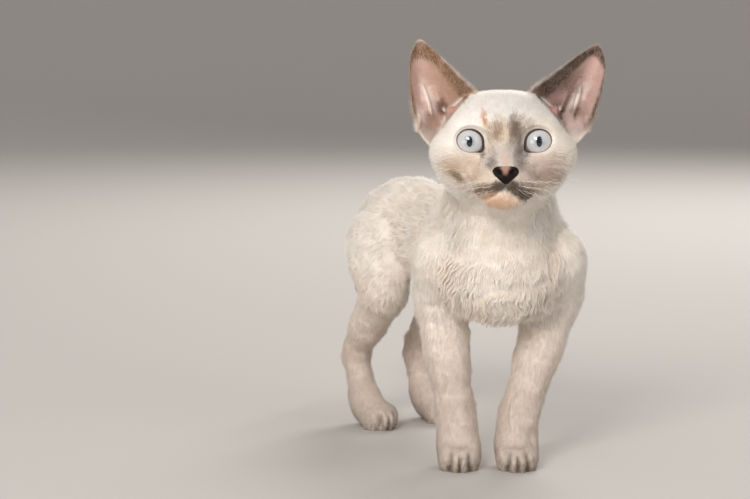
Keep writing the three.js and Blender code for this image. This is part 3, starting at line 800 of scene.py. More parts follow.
def growCoat(mesh, way):
    tufts = layTufts(mesh, way)
    length, inch = tufts["length"], tufts["inch"]
    isShort, isWavy = length < coatBuild["shortLimit"], length >= coatBuild["middleLimit"]
    pieces = []
    for kind, mask in (("Short", isShort), ("Soft", ~isShort & ~isWavy), ("Wavy", isWavy)):
        index = np.nonzero(mask)[0]
        index = index[np.argsort(inch[index, 1] - 0.35 * inch[index, 2])]
        faces = 4 + 6 * (len(coatKinds[kind]["taper"]) - 1)
        parts = max(1, math.ceil(len(index) / (coatBuild["most"] // faces)))
        for k, chunk in enumerate(np.array_split(index, parts)):
            name = "coat" + kind + (str(k + 1) if parts > 1 else "")
            pieces.append(growPiece(name, coatKinds[kind], tufts, chunk))
            print(name, len(chunk), "tufts", len(chunk) * faces, "faces")
    return pieces


coatPieces = growCoat(skin.data, skinWay)
print("coat grown")


# Shader helpers.
def setInput(tree, socket, value):   # a link where the value comes from a node, and otherwise a setting
    if isinstance(value, bpy.types.NodeSocket):
        tree.links.new(value, socket)
    else:
        socket.default_value = (*value, 1) if socket.type == "RGBA" else value


def addNode(tree, kind, inputs=None, **settings):
    node = tree.nodes.new(kind)
    for key, value in settings.items():
        setattr(node, key, value)
    for key, value in (inputs or {}).items():
        setInput(tree, node.inputs[key], value)
    return node


def calc(tree, operation, a, b):
    return addNode(tree, "ShaderNodeMath", {0: a, 1: b}, operation=operation).outputs[0]


def product(tree, first, *others):
    for other in others:
        first = calc(tree, "MULTIPLY", first, other)
    return first


def vectorCalc(tree, operation, a, b=(0, 0, 0), result=0):
    return addNode(tree, "ShaderNodeVectorMath", {0: a, 1: b}, operation=operation).outputs[result]


def vectorLength(tree, vector):
    return vectorCalc(tree, "LENGTH", vector, result="Value")


def blendColour(tree, share, a, b, mode="MIX"):
    inputs = {0: share, 6: a, 7: b}
    return addNode(tree, "ShaderNodeMix", inputs, data_type="RGBA", blend_type=mode).outputs[2]


def tinted(tree, colour, tone, *shares):   # a colour with a tone laid over it, by the product of the shares
    return blendColour(tree, product(tree, *shares), colour, tone)


def stretch(tree, value, low, high, first=0.0, last=1.0):
    inputs = {"Value": value, "From Min": low, "From Max": high, "To Min": first, "To Max": last}
    return addNode(tree, "ShaderNodeMapRange", inputs, interpolation_type="SMOOTHSTEP").outputs[0]


def noise(tree, vector, scale, detail=3.0, rough=0.55, output="Fac"):
    inputs = {"Vector": vector, "Scale": scale, "Detail": detail, "Roughness": rough}
    return addNode(tree, "ShaderNodeTexNoise", inputs).outputs[output]


def mapped(tree, vector, place=(0, 0, 0), turn=(0, 0, 0), scale=(1, 1, 1), kind="POINT"):
    inputs = {"Vector": vector, "Location": place, "Rotation": turn, "Scale": scale}
    return addNode(tree, "ShaderNodeMapping", inputs, vector_type=kind).outputs[0]


def apart(tree, vector):
    return addNode(tree, "ShaderNodeSeparateXYZ", {0: vector}).outputs


def bumped(tree, shader, height, strength, distance):
    inputs = {"Strength": strength, "Distance": distance, "Height": height}
    setInput(tree, shader.inputs["Normal"], addNode(tree, "ShaderNodeBump", inputs).outputs[0])


def newMaterial(name, settings):
    material = bpy.data.materials.new(name)
    material.use_nodes = True
    tree = material.node_tree
    shader = tree.nodes["Principled BSDF"]
    for key, value in settings.items():
        shader.inputs[key].default_value = value
    return material, tree, shader


def objectPlace(tree):
    return addNode(tree, "ShaderNodeTexCoord").outputs["Object"]


def headFrame(tree, place):   # object coordinates in the head's own millimetres
    return mapped(tree, place, headPlace, (headTilt, 0, 0), (mm, mm, mm), "TEXTURE")


def readAttribute(tree, name):
    return addNode(tree, "ShaderNodeAttribute", attribute_name=name).outputs["Fac"]


def mottledMaterial(name, settings, scale, first, second):   # two near tones, by noise
    material, tree, shader = newMaterial(name, settings)
    tone = noise(tree, objectPlace(tree), scale, 2.0)
    setInput(tree, shader.inputs["Base Color"], blendColour(tree, tone, first, second))
    return material


# Markings, in the head's millimetres seen from the front: x, z, half width, half height, lean,
# colour and strength.
cream = (0.95, 0.905, 0.85)
faceSpots = [
    (0.0, -17.0, 25.0, 12.0, 0, (0.68, 0.52, 0.40), 0.50),     # warmer lower face
    # painted shade, which the chin casts on the throat
    (-1.0, -41.0, 17.0, 8.0, 0, (0.74, 0.56, 0.45), 0.50),     # shade of the throat
    (-20.0, -11.5, 10.5, 8.0, 0, (0.68, 0.51, 0.38), 0.58),    # cheeks
    (20.0, -12.5, 10.5, 9.0, 0, (0.60, 0.45, 0.37), 0.64),
    (2.0, 19.0, 24.0, 9.0, 0, (0.70, 0.665, 0.66), 0.46),      # the crown is cooler
    (0.5, 3.0, 9.5, 8.5, 0, (0.70, 0.56, 0.44), 0.50),
    (-9.7, 10.2, 1.5, 4.4, -8, (0.60, 0.32, 0.165), 0.90),     # warm streak over the right eye
    (-4.0, 4.6, 3.7, 5.8, 0, (0.34, 0.21, 0.125), 0.82),       # tan smudge on the forehead
    (5.0, 5.6, 3.9, 7.4, 8, (0.185, 0.125, 0.095), 0.88),      # grey smudge beside it
    (0.4, 2.6, 1.5, 4.6, 0, (0.78, 0.64, 0.48), 0.75),         # pale stripe between them
    (12.0, 8.8, 2.6, 2.4, 0, (0.34, 0.27, 0.23), 0.50),
    (0.8, -5.8, 7.4, 6.2, 0, (0.47, 0.395, 0.37), 0.66),       # bridge of the nose
    (8.2, -5.0, 3.0, 7.0, -14, (0.24, 0.19, 0.175), 0.70),
    (-6.6, -11.0, 2.4, 3.6, 16, (0.16, 0.125, 0.11), 0.78),
    (6.6, -11.6, 2.8, 3.4, -16, (0.19, 0.15, 0.13), 0.74),
    (0.0, -9.4, 2.2, 3.0, 0, (0.62, 0.45, 0.37), 0.75),
    (-11.0, -17.6, 7.0, 4.4, 0, (0.60, 0.44, 0.32), 0.45),     # whisker pads
    (11.0, -17.6, 7.0, 4.6, 0, (0.50, 0.37, 0.31), 0.58),
    (-22.6, -17.0, 5.2, 1.7, 30, (0.24, 0.145, 0.07), 0.80),   # stripe on the right cheek
    (-26.5, -12.0, 5.0, 2.0, 14, (0.58, 0.41, 0.25), 0.60),
    (22.5, -16.5, 6.6, 4.4, 0, (0.45, 0.33, 0.26), 0.62),
    (-10.2, -6.6, 1.3, 3.6, 24, (0.20, 0.13, 0.10), 0.70),     # below the inner corners of the eyes
    (10.9, -4.6, 1.4, 2.8, -24, (0.13, 0.095, 0.08), 0.70),
]
mouthSpots = [
    (-13.0, -24.0, 7.6, 3.2, -6, (0.27, 0.165, 0.095), 0.90),  # dark band of the upper lip
    (-6.6, -23.0, 5.4, 3.0, -10, (0.13, 0.08, 0.05), 0.92),
    (-3.6, -21.4, 4.0, 2.6, -16, (0.055, 0.033, 0.02), 0.96),
    (3.4, -21.4, 4.8, 3.6, 30, (0.045, 0.026, 0.015), 1.0),
    (9.4, -25.0, 6.6, 4.4, 16, (0.04, 0.022, 0.013), 1.0),
    (15.2, -24.4, 5.4, 3.4, 0, (0.29, 0.19, 0.135), 0.76),
    (-3.4, -29.4, 10.4, 4.4, 4, (0.78, 0.50, 0.33), 0.88),     # warm chin
    (-1.0, -33.0, 12.0, 3.0, 0, (0.82, 0.60, 0.45), 0.65),
]
earSpots = [   # the hollows, right ear first
    (-28.0, 28.0, 13, 22, 0, (0.45, 0.275, 0.195), 1.0),
    (-35.2, 20.5, 3.6, 11.0, -22, (0.93, 0.79, 0.73), 0.95),
    (-22.4, 30.4, 2.6, 6.4, -30, (0.17, 0.10, 0.055), 0.80),
    (-40.6, 11.8, 3.8, 6.4, 0, (0.86, 0.74, 0.68), 0.92),
    (-31.0, 11.5, 6.0, 4.0, 0, (0.60, 0.38, 0.30), 0.75),
    # painted shade in the right ear's canal
    (-29.4, 17.2, 2.9, 4.6, -8, (0.13, 0.04, 0.02), 0.97),
    (-24.4, 15.6, 3.0, 2.6, 0, (0.56, 0.28, 0.20), 0.85),
    (28.5, 28.0, 13, 24, 0, (0.118, 0.063, 0.048), 1.0),
    (25.5, 21.5, 8.0, 7.0, 0, (0.40, 0.235, 0.215), 0.90),
    (36.0, 20.5, 2.9, 10.5, 38, (0.84, 0.71, 0.67), 0.92),
    (36.4, 15.8, 3.0, 2.0, 0, (0.24, 0.13, 0.10), 0.75),
    (33.6, 10.0, 6.5, 4.4, 20, (0.82, 0.64, 0.60), 0.88),
    # painted shade in the left ear's canal
    (28.8, 14.2, 2.2, 3.6, 10, (0.07, 0.028, 0.02), 0.95),
    (24.2, 14.6, 3.0, 3.0, 0, (0.62, 0.27, 0.22), 0.90),
]


def paintSpots(tree, place, spots, colour, share=1.0, ticking=0.0, depth=60):
    for x, z, wide, high, lean, tone, strength in spots:
        turn = (0, math.radians(lean), 0)
        away = vectorLength(tree, mapped(tree, place, (x, -18, z), turn, (wide, depth, high), "TEXTURE"))
        mask = stretch(tree, calc(tree, "ADD", away, ticking), 1.5, 0.35, 0.0, strength)
        colour = tinted(tree, colour, tone, mask, share)
    return colour


markInputs = {"Place": "Vector", "Ear rim": "Float", "Ear hollow": "Float", "Ear back": "Float",
              "Toe gap": "Float", "Ticking": "Float"}
markOutputs = {"Color": "Color", "Dark": "Float", "Fleck": "Float"}


def newGroup(name):
    tree = bpy.data.node_groups.new(name, "ShaderNodeTree")
    for way, sockets in (("INPUT", markInputs), ("OUTPUT", markOutputs)):
        for label, kind in sockets.items():
            tree.interface.new_socket(name=label, in_out=way, socket_type="NodeSocket" + kind)
    return tree, addNode(tree, "NodeGroupInput").outputs, addNode(tree, "NodeGroupOutput").inputs


def paintFace(tree, warped, head, side, ticking):
    face = stretch(tree, side["Y"], 10, -2)
    broad = stretch(tree, noise(tree, head, 0.045, 2.0), 0.42, 0.66)
    colour = blendColour(tree, broad, cream, (0.91, 0.84, 0.755))
    colour = paintSpots(tree, warped, faceSpots, colour, face, ticking)
    return paintSpots(tree, warped, mouthSpots, colour, face, ticking, 15)


def paintLegs(tree, colour, head, body, patchy, toeGap):   # grey beige paws and a grey brown tail
    height = body["Z"]
    colour = tinted(tree, colour, (0.85, 0.735, 0.635), stretch(tree, height, 0.100, 0.040, 0.0, 0.62))
    low = stretch(tree, calc(tree, "ADD", height, product(tree, patchy, -0.03)), 0.055, 0.008)
    colour = tinted(tree, colour, (0.60, 0.51, 0.445), low, 0.62)
    # painted shade between the tufts on the legs, as fine darker mottling
    along = mapped(tree, head, scale=(1.0, 1.0, 0.45))
    shadeBetweenTufts = stretch(tree, noise(tree, along, 0.55, 4.0, 0.65), 0.47, 0.64, 0.0, 0.34)
    colour = tinted(tree, colour, (0.50, 0.41, 0.345), shadeBetweenTufts, stretch(tree, height, 0.105, 0.070))
    toes, speck = stretch(tree, height, 0.015, 0.003), stretch(tree, noise(tree, head, 0.40), 0.42, 0.66)
    colour = tinted(tree, colour, (0.26, 0.22, 0.195), toes, speck, 0.42)
    # painted shade in the gaps between the toes
    colour = tinted(tree, colour, (0.22, 0.17, 0.145), toeGap, 0.75)
    tail = stretch(tree, body["Y"], bodyPlace.y + 0.150, bodyPlace.y + 0.190)
    points = blendColour(tree, stretch(tree, patchy, 0.46, 0.58), (0.30, 0.25, 0.215), (0.43, 0.34, 0.27))
    return tinted(tree, colour, points, tail, 0.85)


# Ears: grey coat on the left one and tan on the right, over bare skin in the hollow.
def paintEars(tree, colour, warped, head, side, patchy, ticking, start):
    leftEar = stretch(tree, side["X"], -2, 2)
    backTone = blendColour(tree, leftEar, (0.56, 0.44, 0.33), (0.26, 0.22, 0.20))
    backShare = stretch(tree, side["Z"], 14, 30, 0.0, 0.85)
    backPatch = stretch(tree, patchy, 0.36, 0.60, 0.70, 1.0)
    colour = tinted(tree, colour, backTone, start["Ear back"], backShare, backPatch)
    hollow = paintSpots(tree, warped, earSpots, (0.56, 0.36, 0.31))
    colour = tinted(tree, colour, hollow, start["Ear hollow"])
    band = blendColour(tree, leftEar, (0.23, 0.12, 0.058), (0.060, 0.032, 0.020))
    paleBand = blendColour(tree, leftEar, (0.46, 0.30, 0.19), (0.27, 0.18, 0.13))
    streaks = mapped(tree, head, turn=(0, math.radians(38), 0), scale=(0.9, 0.9, 0.35))
    hairs = stretch(tree, noise(tree, streaks, 1.7, 3.0, 0.6), 0.44, 0.62, 0.0, 0.9)
    uneven = stretch(tree, calc(tree, "ADD", patchy, product(tree, ticking, 0.16)), 0.34, 0.50, 0.62, 0.97)
    rim = product(tree, start["Ear rim"], uneven)
    return tinted(tree, colour, tinted(tree, band, paleBand, hairs), rim), rim


def buildMarkings():
    tree, start, end = newGroup("coatMarkings")
    head = headFrame(tree, start["Place"])
    centred = vectorCalc(tree, "SUBTRACT", noise(tree, head, 0.30, 3.0, 0.6, "Color"), (0.5, 0.5, 0.5))
    warped = vectorCalc(tree, "ADD", head, vectorCalc(tree, "MULTIPLY", centred, (5.0, 5.0, 5.0)))
    side, body = apart(tree, warped), apart(tree, start["Place"])
    ticking = product(tree, calc(tree, "SUBTRACT", start["Ticking"], 0.5), 0.9)
    patchy = noise(tree, head, 0.16)
    colour = paintFace(tree, warped, head, side, ticking)
    colour = paintLegs(tree, colour, head, body, patchy, start["Toe gap"])
    colour, rim = paintEars(tree, colour, warped, head, side, patchy, ticking, start)
    dark = addNode(tree, "ShaderNodeRGBToBW", {0: colour}).outputs[0]
    for key, value in (("Color", colour), ("Dark", rim), ("Fleck", stretch(tree, dark, 0.50, 0.22))):
        setInput(tree, end[key], value)
    return tree


markings = buildMarkings()


def readMarks(tree, ticking=0.5):
    place, hollow = objectPlace(tree), readAttribute(tree, "earInside")
    inputs = {"Place": place, "Ear rim": readAttribute(tree, "earRim"), "Ear hollow": hollow,
              "Ear back": readAttribute(tree, "earBack"), "Toe gap": readAttribute(tree, "toeGap"),
              "Ticking": ticking}
    return place, hollow, addNode(tree, "ShaderNodeGroup", inputs, node_tree=markings).outputs


def shaded(tree, colour, light):
    grey = addNode(tree, "ShaderNodeCombineColor", {0: light, 1: light, 2: light}).outputs[0]
    return blendColour(tree, 1.0, colour, grey, "MULTIPLY")


def coatMaterial():
    material, tree, shader = newMaterial("wavy coat", {"Roughness": 0.6, "Specular IOR Level": 0.15,
                                                       "Sheen Weight": 0.15, "Sheen Roughness": 0.4})
    tint, along = readAttribute(tree, "tint"), readAttribute(tree, "along")
    _, hollow, marks = readMarks(tree, tint)
    downy = tinted(tree, marks["Color"], (0.84, 0.76, 0.70), 0.45)
    colour = tinted(tree, marks["Color"], downy, hollow, calc(tree, "SUBTRACT", 1.0, marks["Dark"]))
    # painted shade at the tufts' roots, warmer on the chest, lightening to a little above white at the tips
    root = tinted(tree, (0.90, 0.845, 0.79), (0.86, 0.77, 0.68), readAttribute(tree, "chest"))
    depth = tinted(tree, root, (1.04, 1.04, 1.04), stretch(tree, along, 0.0, 0.85))
    colour = shaded(tree, colour, stretch(tree, tint, 0.0, 1.0, 0.93, 1.06))
    colour = blendColour(tree, 1.0, colour, depth, "MULTIPLY")
    for low, high, strength, tone in ((0.56, 0.70, 0.5, (0.06, 0.05, 0.045)),
                                      (0.34, 0.20, 0.14, (0.70, 0.58, 0.48))):
        colour = tinted(tree, colour, tone, stretch(tree, tint, low, high), marks["Fleck"], strength)
    setInput(tree, shader.inputs["Base Color"], colour)
    return material


def skinMaterial():
    material, tree, shader = newMaterial("skin", {"Roughness": 0.55, "Subsurface Weight": 0.12,
                                                  "Subsurface Radius": (1.0, 0.35, 0.2),
                                                  "Subsurface Scale": 0.003, "Sheen Weight": 0.15})
    place, hollow, marks = readMarks(tree)
    # painted shade on the skin under the coat, deeper where the coat is wavy and on the chest
    share = calc(tree, "ADD", stretch(tree, readAttribute(tree, "wave"), 0.1, 0.6, 0.08, 0.30),
                 product(tree, readAttribute(tree, "chest"), 0.25))
    shadeUnderCoat = tinted(tree, marks["Color"], (0.64, 0.47, 0.38), share)
    veins = stretch(tree, noise(tree, place, 160, 4.0, 0.6), 0.35, 0.68, 1.04, 0.90)
    colour = shaded(tree, tinted(tree, shadeUnderCoat, marks["Color"], hollow), veins)
    colour = tinted(tree, colour, (0.42, 0.235, 0.20), readAttribute(tree, "eyeEdge"), 0.8)
    colour = tinted(tree, colour, (0.50, 0.30, 0.27), readAttribute(tree, "pad"))
    setInput(tree, shader.inputs["Base Color"], colour)
    bumped(tree, shader, noise(tree, place, 1400, 3.0, 0.6), 0.35, 0.0004)
    return material


skin.data.materials.append(skinMaterial())
fleshNodes = [n for n in nodeNames if not n.startswith("eye") and n != "nose"]
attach(skin, "root")
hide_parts(*fleshNodes)
wavyCoat = coatMaterial()
for piece in coatPieces:
    piece.data.materials.append(wavyCoat)
    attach(piece, "root")
print("skin and coat finished")

# Eyes: one wet ball each, whose front carries the iris and a tall pupil.
irisLook = {"radius": 6.35, "pupil": (1.40, 2.5), "bulge": 0.35, "bulgeWidth": 4.4, "uvSpan": 24}


def makeEyeball(side, sign):
    shape = bmesh.new()
    bmesh.ops.create_uvsphere(shape, u_segments=72, v_segments=48, radius=eyeLook["ball"] * mm)
    quarter = Matrix.Rotation(math.radians(90), 3, "X")
    bmesh.ops.rotate(shape, verts=shape.verts, cent=(0, 0, 0), matrix=quarter)
    layer = shape.loops.layers.uv.new("eyeFront")
    span = irisLook["uvSpan"]
    for face in shape.faces:
        face.smooth = True
        for loop in face.loops:
            co = loop.vert.co / mm
            loop[layer].uv = (0.5 + co.x / span, 0.5 + co.z / span) if co.y < 3 else (0.02, 0.02)
    for v in shape.verts:
        spread = math.hypot(v.co.x, v.co.z) / mm
        if v.co.y < 0:
            v.co.y -= irisLook["bulge"] * mm * math.exp(-(spread / irisLook["bulgeWidth"]) ** 2)
    turn = headTurn.to_4x4() @ Matrix.Rotation(math.radians(eyeLook["gaze"] * sign), 4, "Z")
    shape.transform(Matrix.Translation(headPoint(eyeLook["ballSide"] * sign, 0, 0)) @ turn)
    return fromBmesh("eyeball" + side.capitalize(), shape)


def eyeMaterial():
    material, tree, shader = newMaterial("pale blue eye", {"Roughness": 0.18, "Specular IOR Level": 0.3,
                                                           "Coat Weight": 1.0, "Coat Roughness": 0.015,
                                                           "Coat IOR": 1.5})
    uv = addNode(tree, "ShaderNodeUVMap", uv_map="eyeFront").outputs[0]
    span, iris = irisLook["uvSpan"], irisLook["radius"]
    centred = mapped(tree, uv, (-span / 2, -span / 2, 0), scale=(span, span, 1))
    radius = vectorLength(tree, centred)
    flat = apart(tree, centred)
    turn = calc(tree, "ARCTAN2", flat["Y"], flat["X"])
    rays = {0: product(tree, turn, 5.0), 1: product(tree, radius, 0.55)}
    rays = addNode(tree, "ShaderNodeCombineXYZ", rays)
    fibres = noise(tree, rays.outputs[0], 2.4, 4.0, 0.65)
    edge = calc(tree, "ADD", radius, product(tree, calc(tree, "SUBTRACT", fibres, 0.5), 0.9))
    slit = vectorLength(tree, vectorCalc(tree, "DIVIDE", centred, (*irisLook["pupil"], 1)))
    colour = (0.33, 0.375, 0.42)
    for share, tone in ((stretch(tree, edge, 1.6, 3.9), (0.545, 0.550, 0.548)),
                        (stretch(tree, fibres, 0.45, 0.75, 0.0, 0.5), (0.66, 0.70, 0.72)),
                        (stretch(tree, radius, iris - 0.7, iris), (0.20, 0.22, 0.25)),
                        (stretch(tree, radius, iris + 0.1, iris + 0.5), (0.30, 0.20, 0.185)),
                        (stretch(tree, slit, 1.12, 0.94), (0.006, 0.008, 0.014))):
        colour = tinted(tree, colour, tone, share)
    setInput(tree, shader.inputs["Base Color"], colour)
    return material


blueEye = eyeMaterial()
for side, sign in sides.items():
    ball = makeEyeball(side, sign)
    ball.data.materials.append(blueEye)
    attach(ball, "root")
    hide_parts("eye_" + side)


# Strands along lines of points, as tubes that thin out.
def strandMesh(name, strands, corners, closed=False):
    curve = bpy.data.curves.new(name, "CURVE")
    curve.dimensions = "3D"
    curve.bevel_depth = 1.0 * mm
    curve.bevel_resolution = corners
    curve.use_fill_caps = True
    for points, radii in strands:
        spline = curve.splines.new("POLY")
        spline.points.add(len(points) - 1)
        spline.use_cyclic_u = closed
        for place, point, radius in zip(spline.points, points, radii):
            place.co = (*point, 1)
            place.radius = radius
    obj = linked(name, curve)
    graph = bpy.context.evaluated_depsgraph_get()
    mesh = bpy.data.meshes.new_from_object(obj.evaluated_get(graph))
    bpy.data.objects.remove(obj)
    obj = linked(name, mesh)
    smooth(mesh)
    return obj


lidLook = {"steps": 96, "over": 0.40, "gap": 0.1,
           "thick": [(-180, 0.27), (-125, 0.17), (-80, 0.17), (-48, 0.44), (0, 0.66),
                     (45, 0.62), (90, 0.46), (135, 0.36), (180, 0.27)]}


def makeLids():   # thickest towards the nose, and a thin line below the eye
    strands = []
    angles, thick = zip(*lidLook["thick"])
    middle, height = eyeLook["middle"]
    for sign in sides.values():
        points, radii = [], []
        for k in range(lidLook["steps"]):
            angle = 2 * math.pi * k / lidLook["steps"] - math.pi
            radius = float(np.interp(math.degrees(angle), angles, thick))
            reach = float(eyeReach(np.array([angle]))[0]) + lidLook["gap"]
            x, z = middle - reach * math.cos(angle), height + reach * math.sin(angle)
            ball = eyeLook["ball"] + lidLook["over"] * min(1.0, 0.45 + radius)
            y = -math.sqrt(max(ball ** 2 - (x - eyeLook["ballSide"]) ** 2 - z ** 2, 4.0))
            points.append(headPoint(sign * x, y, z))
            radii.append(radius)
        strands.append((points, radii))
    rims = strandMesh("eyelidRims", strands, 3, True)
    local = toHead(readPoints(rims.data))
    along = np.degrees(np.arctan2(local[:, 2] - height, middle - np.abs(local[:, 0])))
    tone = np.clip((np.array(thick) - 0.15) / 0.3, 0, 1)
    setAttribute(rims.data, "lidTone", np.interp(along, angles, tone))
    return rims


lids = makeLids()
rimSkin, tree, shader = newMaterial("eyelid rim", {"Roughness": 0.42, "Specular IOR Level": 0.5})
speckle = noise(tree, objectPlace(tree), 900, 2.0)
darkRim = blendColour(tree, speckle, (0.032, 0.016, 0.012), (0.080, 0.040, 0.032))
rimTone = blendColour(tree, readAttribute(tree, "lidTone"), (0.30, 0.18, 0.175), darkRim)
setInput(tree, shader.inputs["Base Color"], rimTone)
lids.data.materials.append(rimSkin)
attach(lids, "root")
print("eyes set")

# Nose leather, pebbled and dark, with a paler patch between the nostrils.
noseLook = {"voxel": 0.32 * mm, "nostril": (3.5, -14.9), "wing": (4.4, -13.6), "dent": 1.5, "seam": 0.45,
            "swell": 0.25, "proud": 0.10}
noseSpots = [(-0.3, -12.2, 2.3, 2.0, 0, (0.48, 0.29, 0.23), 0.95),
             (-0.3, -14.0, 1.4, 2.2, 0, (0.40, 0.22, 0.17), 0.90)]


def makeNose():
    shape = bmesh.new()
    shape.from_mesh(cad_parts["nose"].data)
    bmesh.ops.remove_doubles(shape, verts=shape.verts, dist=1e-5)
    nose = voxelRemesh(fromBmesh("noseLeather", shape), noseLook["voxel"])
    mesh = nose.data
    points = evened(readPoints(mesh), readEdges(mesh), 9, 0.6)
    writePoints(mesh, points)
    local = toHead(points)
    x, z = np.abs(local[:, 0]), local[:, 2]
    front = ramp(-local[:, 1], 18.5, 20)
    across, up = x - noseLook["nostril"][0], z - noseLook["nostril"][1]
    u, v = across * 0.86 + up * 0.5, -across * 0.5 + up * 0.86
    hole = np.exp(-(u / 1.5) ** 2 - (v / 0.75) ** 2)
    seam = bell(x, 0.32) * ramp(-z, 14.5, 16.5)
    wing = bell(np.hypot(x - noseLook["wing"][0], (z - noseLook["wing"][1]) * 1.2), 1.3)
    out = noseLook["proud"] + noseLook["swell"] * wing * front - noseLook["dent"] * hole * front
    out = out - noseLook["seam"] * seam * front
    writePoints(mesh, points + readNormals(mesh) * (out * mm)[:, None])
    # the nostrils' mask, which the material darkens as painted shade
    setAttribute(mesh, "nostril", hole * front)
    smooth(mesh)
    return nose


def noseMaterial():
    material, tree, shader = newMaterial("nose leather", {"Roughness": 0.5, "Specular IOR Level": 0.14})
    head = headFrame(tree, objectPlace(tree))
    cells = addNode(tree, "ShaderNodeTexVoronoi", {"Vector": head, "Scale": 2.6}).outputs["Distance"]
    colour = blendColour(tree, cells, (0.006, 0.004, 0.003), (0.017, 0.010, 0.008))
    colour = paintSpots(tree, head, noseSpots, colour)
    # painted shade in the nostrils
    nostrilShade = stretch(tree, readAttribute(tree, "nostril"), 0.25, 0.7)
    colour = tinted(tree, colour, (0.012, 0.008, 0.008), nostrilShade)
    setInput(tree, shader.inputs["Base Color"], colour)
    bumped(tree, shader, cells, 0.5, 0.0002)
    return material


nose = makeNose()
nose.data.materials.append(noseMaterial())
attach(nose, "root")
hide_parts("nose")

# Whiskers and brow hairs are short and crinkled, as the breed's are.
whiskerLook = {"count": 15, "length": (6.5, 11.0), "thick": 0.075, "crinkle": 0.55, "brow": 0.62,
               "twist": (0, 6.28), "turns": (1.6, 2.6), "droop": (-0.05, 0.30)}


def whiskerStarts():   # side and height on the head, and the way each hair goes
    starts = []
    for sign in sides.values():
        for k in range(whiskerLook["count"]):
            row, place = divmod(k, 5)
            starts.append((sign * (6.2 + place * 1.9), -19.2 - row * 2.1 - place * 0.25,
                           Vector((sign * 0.9, -0.15, 0.12 - row * 0.22))))
        for k in range(4):
            starts.append((sign * (12 + k * 1.7), 8.2 + 0.5 * (k % 2), Vector((sign * 0.35, -0.5, 0.8))))
        for k in range(3):
            starts.append((sign * (26 + k), -13 - 2.5 * k, Vector((sign * 0.9, 0.1, -0.2))))
    return starts


def makeWhiskers():
    tree = BVHTree.FromObject(skin, bpy.context.evaluated_depsgraph_get())
    crinkle = whiskerLook["crinkle"]
    strands = []
    for x, z, lead in whiskerStarts():
        hit, normal, _, _ = tree.ray_cast(headPoint(x, -60, z), headTurn @ Vector((0, 1, 0)))
        if hit is None:
            continue
        lead = (headTurn @ lead).normalized() + normal * 0.35
        length = draw.uniform(*whiskerLook["length"]) * (whiskerLook["brow"] if z > 0 else 1.0)
        cross = lead.cross(Vector((0, 1, 0))).normalized()
        twist, turns, droop = (draw.uniform(*whiskerLook[key]) for key in ("twist", "turns", "droop"))
        points, radii = [], []
        for s in np.linspace(0, 1, 13):
            sway = crinkle * (0.2 + s) * math.sin(twist + s * turns * 6.28)
            curl = crinkle * 0.6 * s * math.cos(twist + s * turns * 5.1)
            fall = Vector((0, 0, droop * length * s * s))
            points.append(hit + (lead * length * s + cross * sway + normal * curl - fall) * mm)
            radii.append(whiskerLook["thick"] * (1 - 0.8 * s))
        strands.append((points, radii))
    return strandMesh("whiskers", strands, 1)


whiskers = makeWhiskers()
strawHair = mottledMaterial("whisker", {"Roughness": 0.35, "Specular IOR Level": 0.5}, 300,
                            (0.80, 0.72, 0.60), (0.92, 0.88, 0.80))
whiskers.data.materials.append(strawHair)
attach(whiskers, "root")
print("nose and whiskers set")

# Small claws between the toes' coat, four to a paw.
clawLook = {"toes": (-7.2, -2.5, 2.5, 7.2), "height": 3.4, "length": 2.1, "inside": 0.9, "thick": 0.42,
            "drop": 0.9}


def makeClaws():
    tree = BVHTree.FromObject(skin, bpy.context.evaluated_depsgraph_get())
    strands = []
    for (x, y), turn in paws:
        turned = Matrix.Rotation(math.radians(turn), 3, "Z")
        ahead, aside = turned @ Vector((0, -1, 0)), turned @ Vector((1, 0, 0))
        for across in clawLook["toes"]:
            start = bodyPoint(x, y, 0) + (aside * across + ahead * 60) * mm
            start.z = clawLook["height"] * mm
            hit = tree.ray_cast(start, -ahead)[0]
            if hit is None:
                continue
            points, radii = [], []
            for t in np.linspace(0, 1, 8):
                reach = clawLook["length"] * t - clawLook["inside"]
                points.append(hit + (ahead * reach - Vector((0, 0, clawLook["drop"] * t * t))) * mm)
                radii.append(clawLook["thick"] * (1 - 0.86 * t ** 1.4))
            strands.append((points, radii))
    return strandMesh("claws", strands, 2)


claws = makeClaws()
horn = mottledMaterial("claw", {"Roughness": 0.3, "Specular IOR Level": 0.5}, 700,
                       (0.66, 0.50, 0.42), (0.82, 0.72, 0.64))
claws.data.materials.append(horn)
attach(claws, "root")
print("claws set")

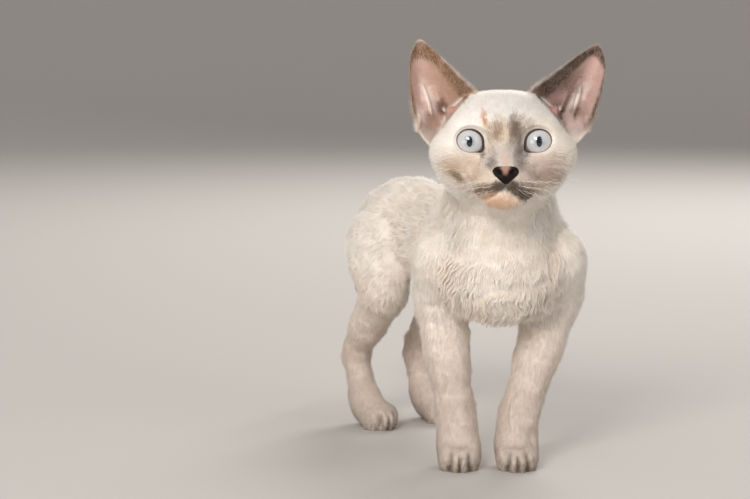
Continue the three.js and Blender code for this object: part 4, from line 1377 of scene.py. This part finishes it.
# Floor and soft studio light.
studio = {"reach": (2.4, 1.6, 3.2), "floor": (0.58, 0.555, 0.53), "floorShade": 0.97,
          "world": (0.86, 0.84, 0.82), "worldStrength": 0.58, "aim": (0, 0.05, -0.06)}
lamps = [   # name, place from the head, size, power, colour
    ("key", (-0.55, -1.60, 0.95), 0.6, 21.5, (1, 0.975, 0.94)),
    ("fill", (1.3, -1.4, 0.6), 1.2, 7.5, (0.96, 0.975, 1)),
    ("low", (-1.1, -1.2, -0.05), 0.9, 9.5, (1, 0.975, 0.945)),
    ("rim", (0.5, 1.6, 1.1), 1.0, 22, (1, 0.98, 0.95)),
]


def makeStudio():
    shape = bmesh.new()
    flat, bow, wall = studio["reach"]
    arc = np.linspace(0.1, math.pi / 2, 12)
    profile = [(0.0, 0.0), (flat, 0.0)]
    profile += [(flat + bow * math.sin(t), bow - bow * math.cos(t)) for t in arc]
    profile += [(flat + bow, wall)]
    line = [shape.verts.new((x, 0, z)) for x, z in profile]
    edges = [shape.edges.new(pair) for pair in zip(line, line[1:])]
    bmesh.ops.spin(shape, geom=line + edges, cent=(0, 0, 0), axis=(0, 0, 1), angle=2 * math.pi, steps=96,
                   use_merge=True)
    bmesh.ops.remove_doubles(shape, verts=shape.verts, dist=1e-5)
    floor = fromBmesh("floor", shape)
    smooth(floor.data)
    pale = studio["floor"]
    shade = tuple(c * studio["floorShade"] for c in pale)
    material = mottledMaterial("pale floor", {"Roughness": 0.9, "Specular IOR Level": 0.2}, 0.8, pale, shade)
    floor.data.materials.append(material)
    world = bpy.data.worlds.new("studio")
    scene.world = world
    world.use_nodes = True
    background = world.node_tree.nodes["Background"]
    background.inputs[0].default_value = (*studio["world"], 1)
    background.inputs[1].default_value = studio["worldStrength"]
    for name, place, size, power, tone in lamps:
        light = linked(name, bpy.data.lights.new(name, "AREA"))
        light.data.size = size
        light.data.energy = power
        light.data.color = tone
        light.location = headPlace + Vector(place)
        aim = headPlace + Vector(studio["aim"]) - light.location
        light.rotation_euler = aim.to_track_quat("-Z", "Y").to_euler()


makeStudio()
scene.view_settings.view_transform = "Standard"
print("studio lit")
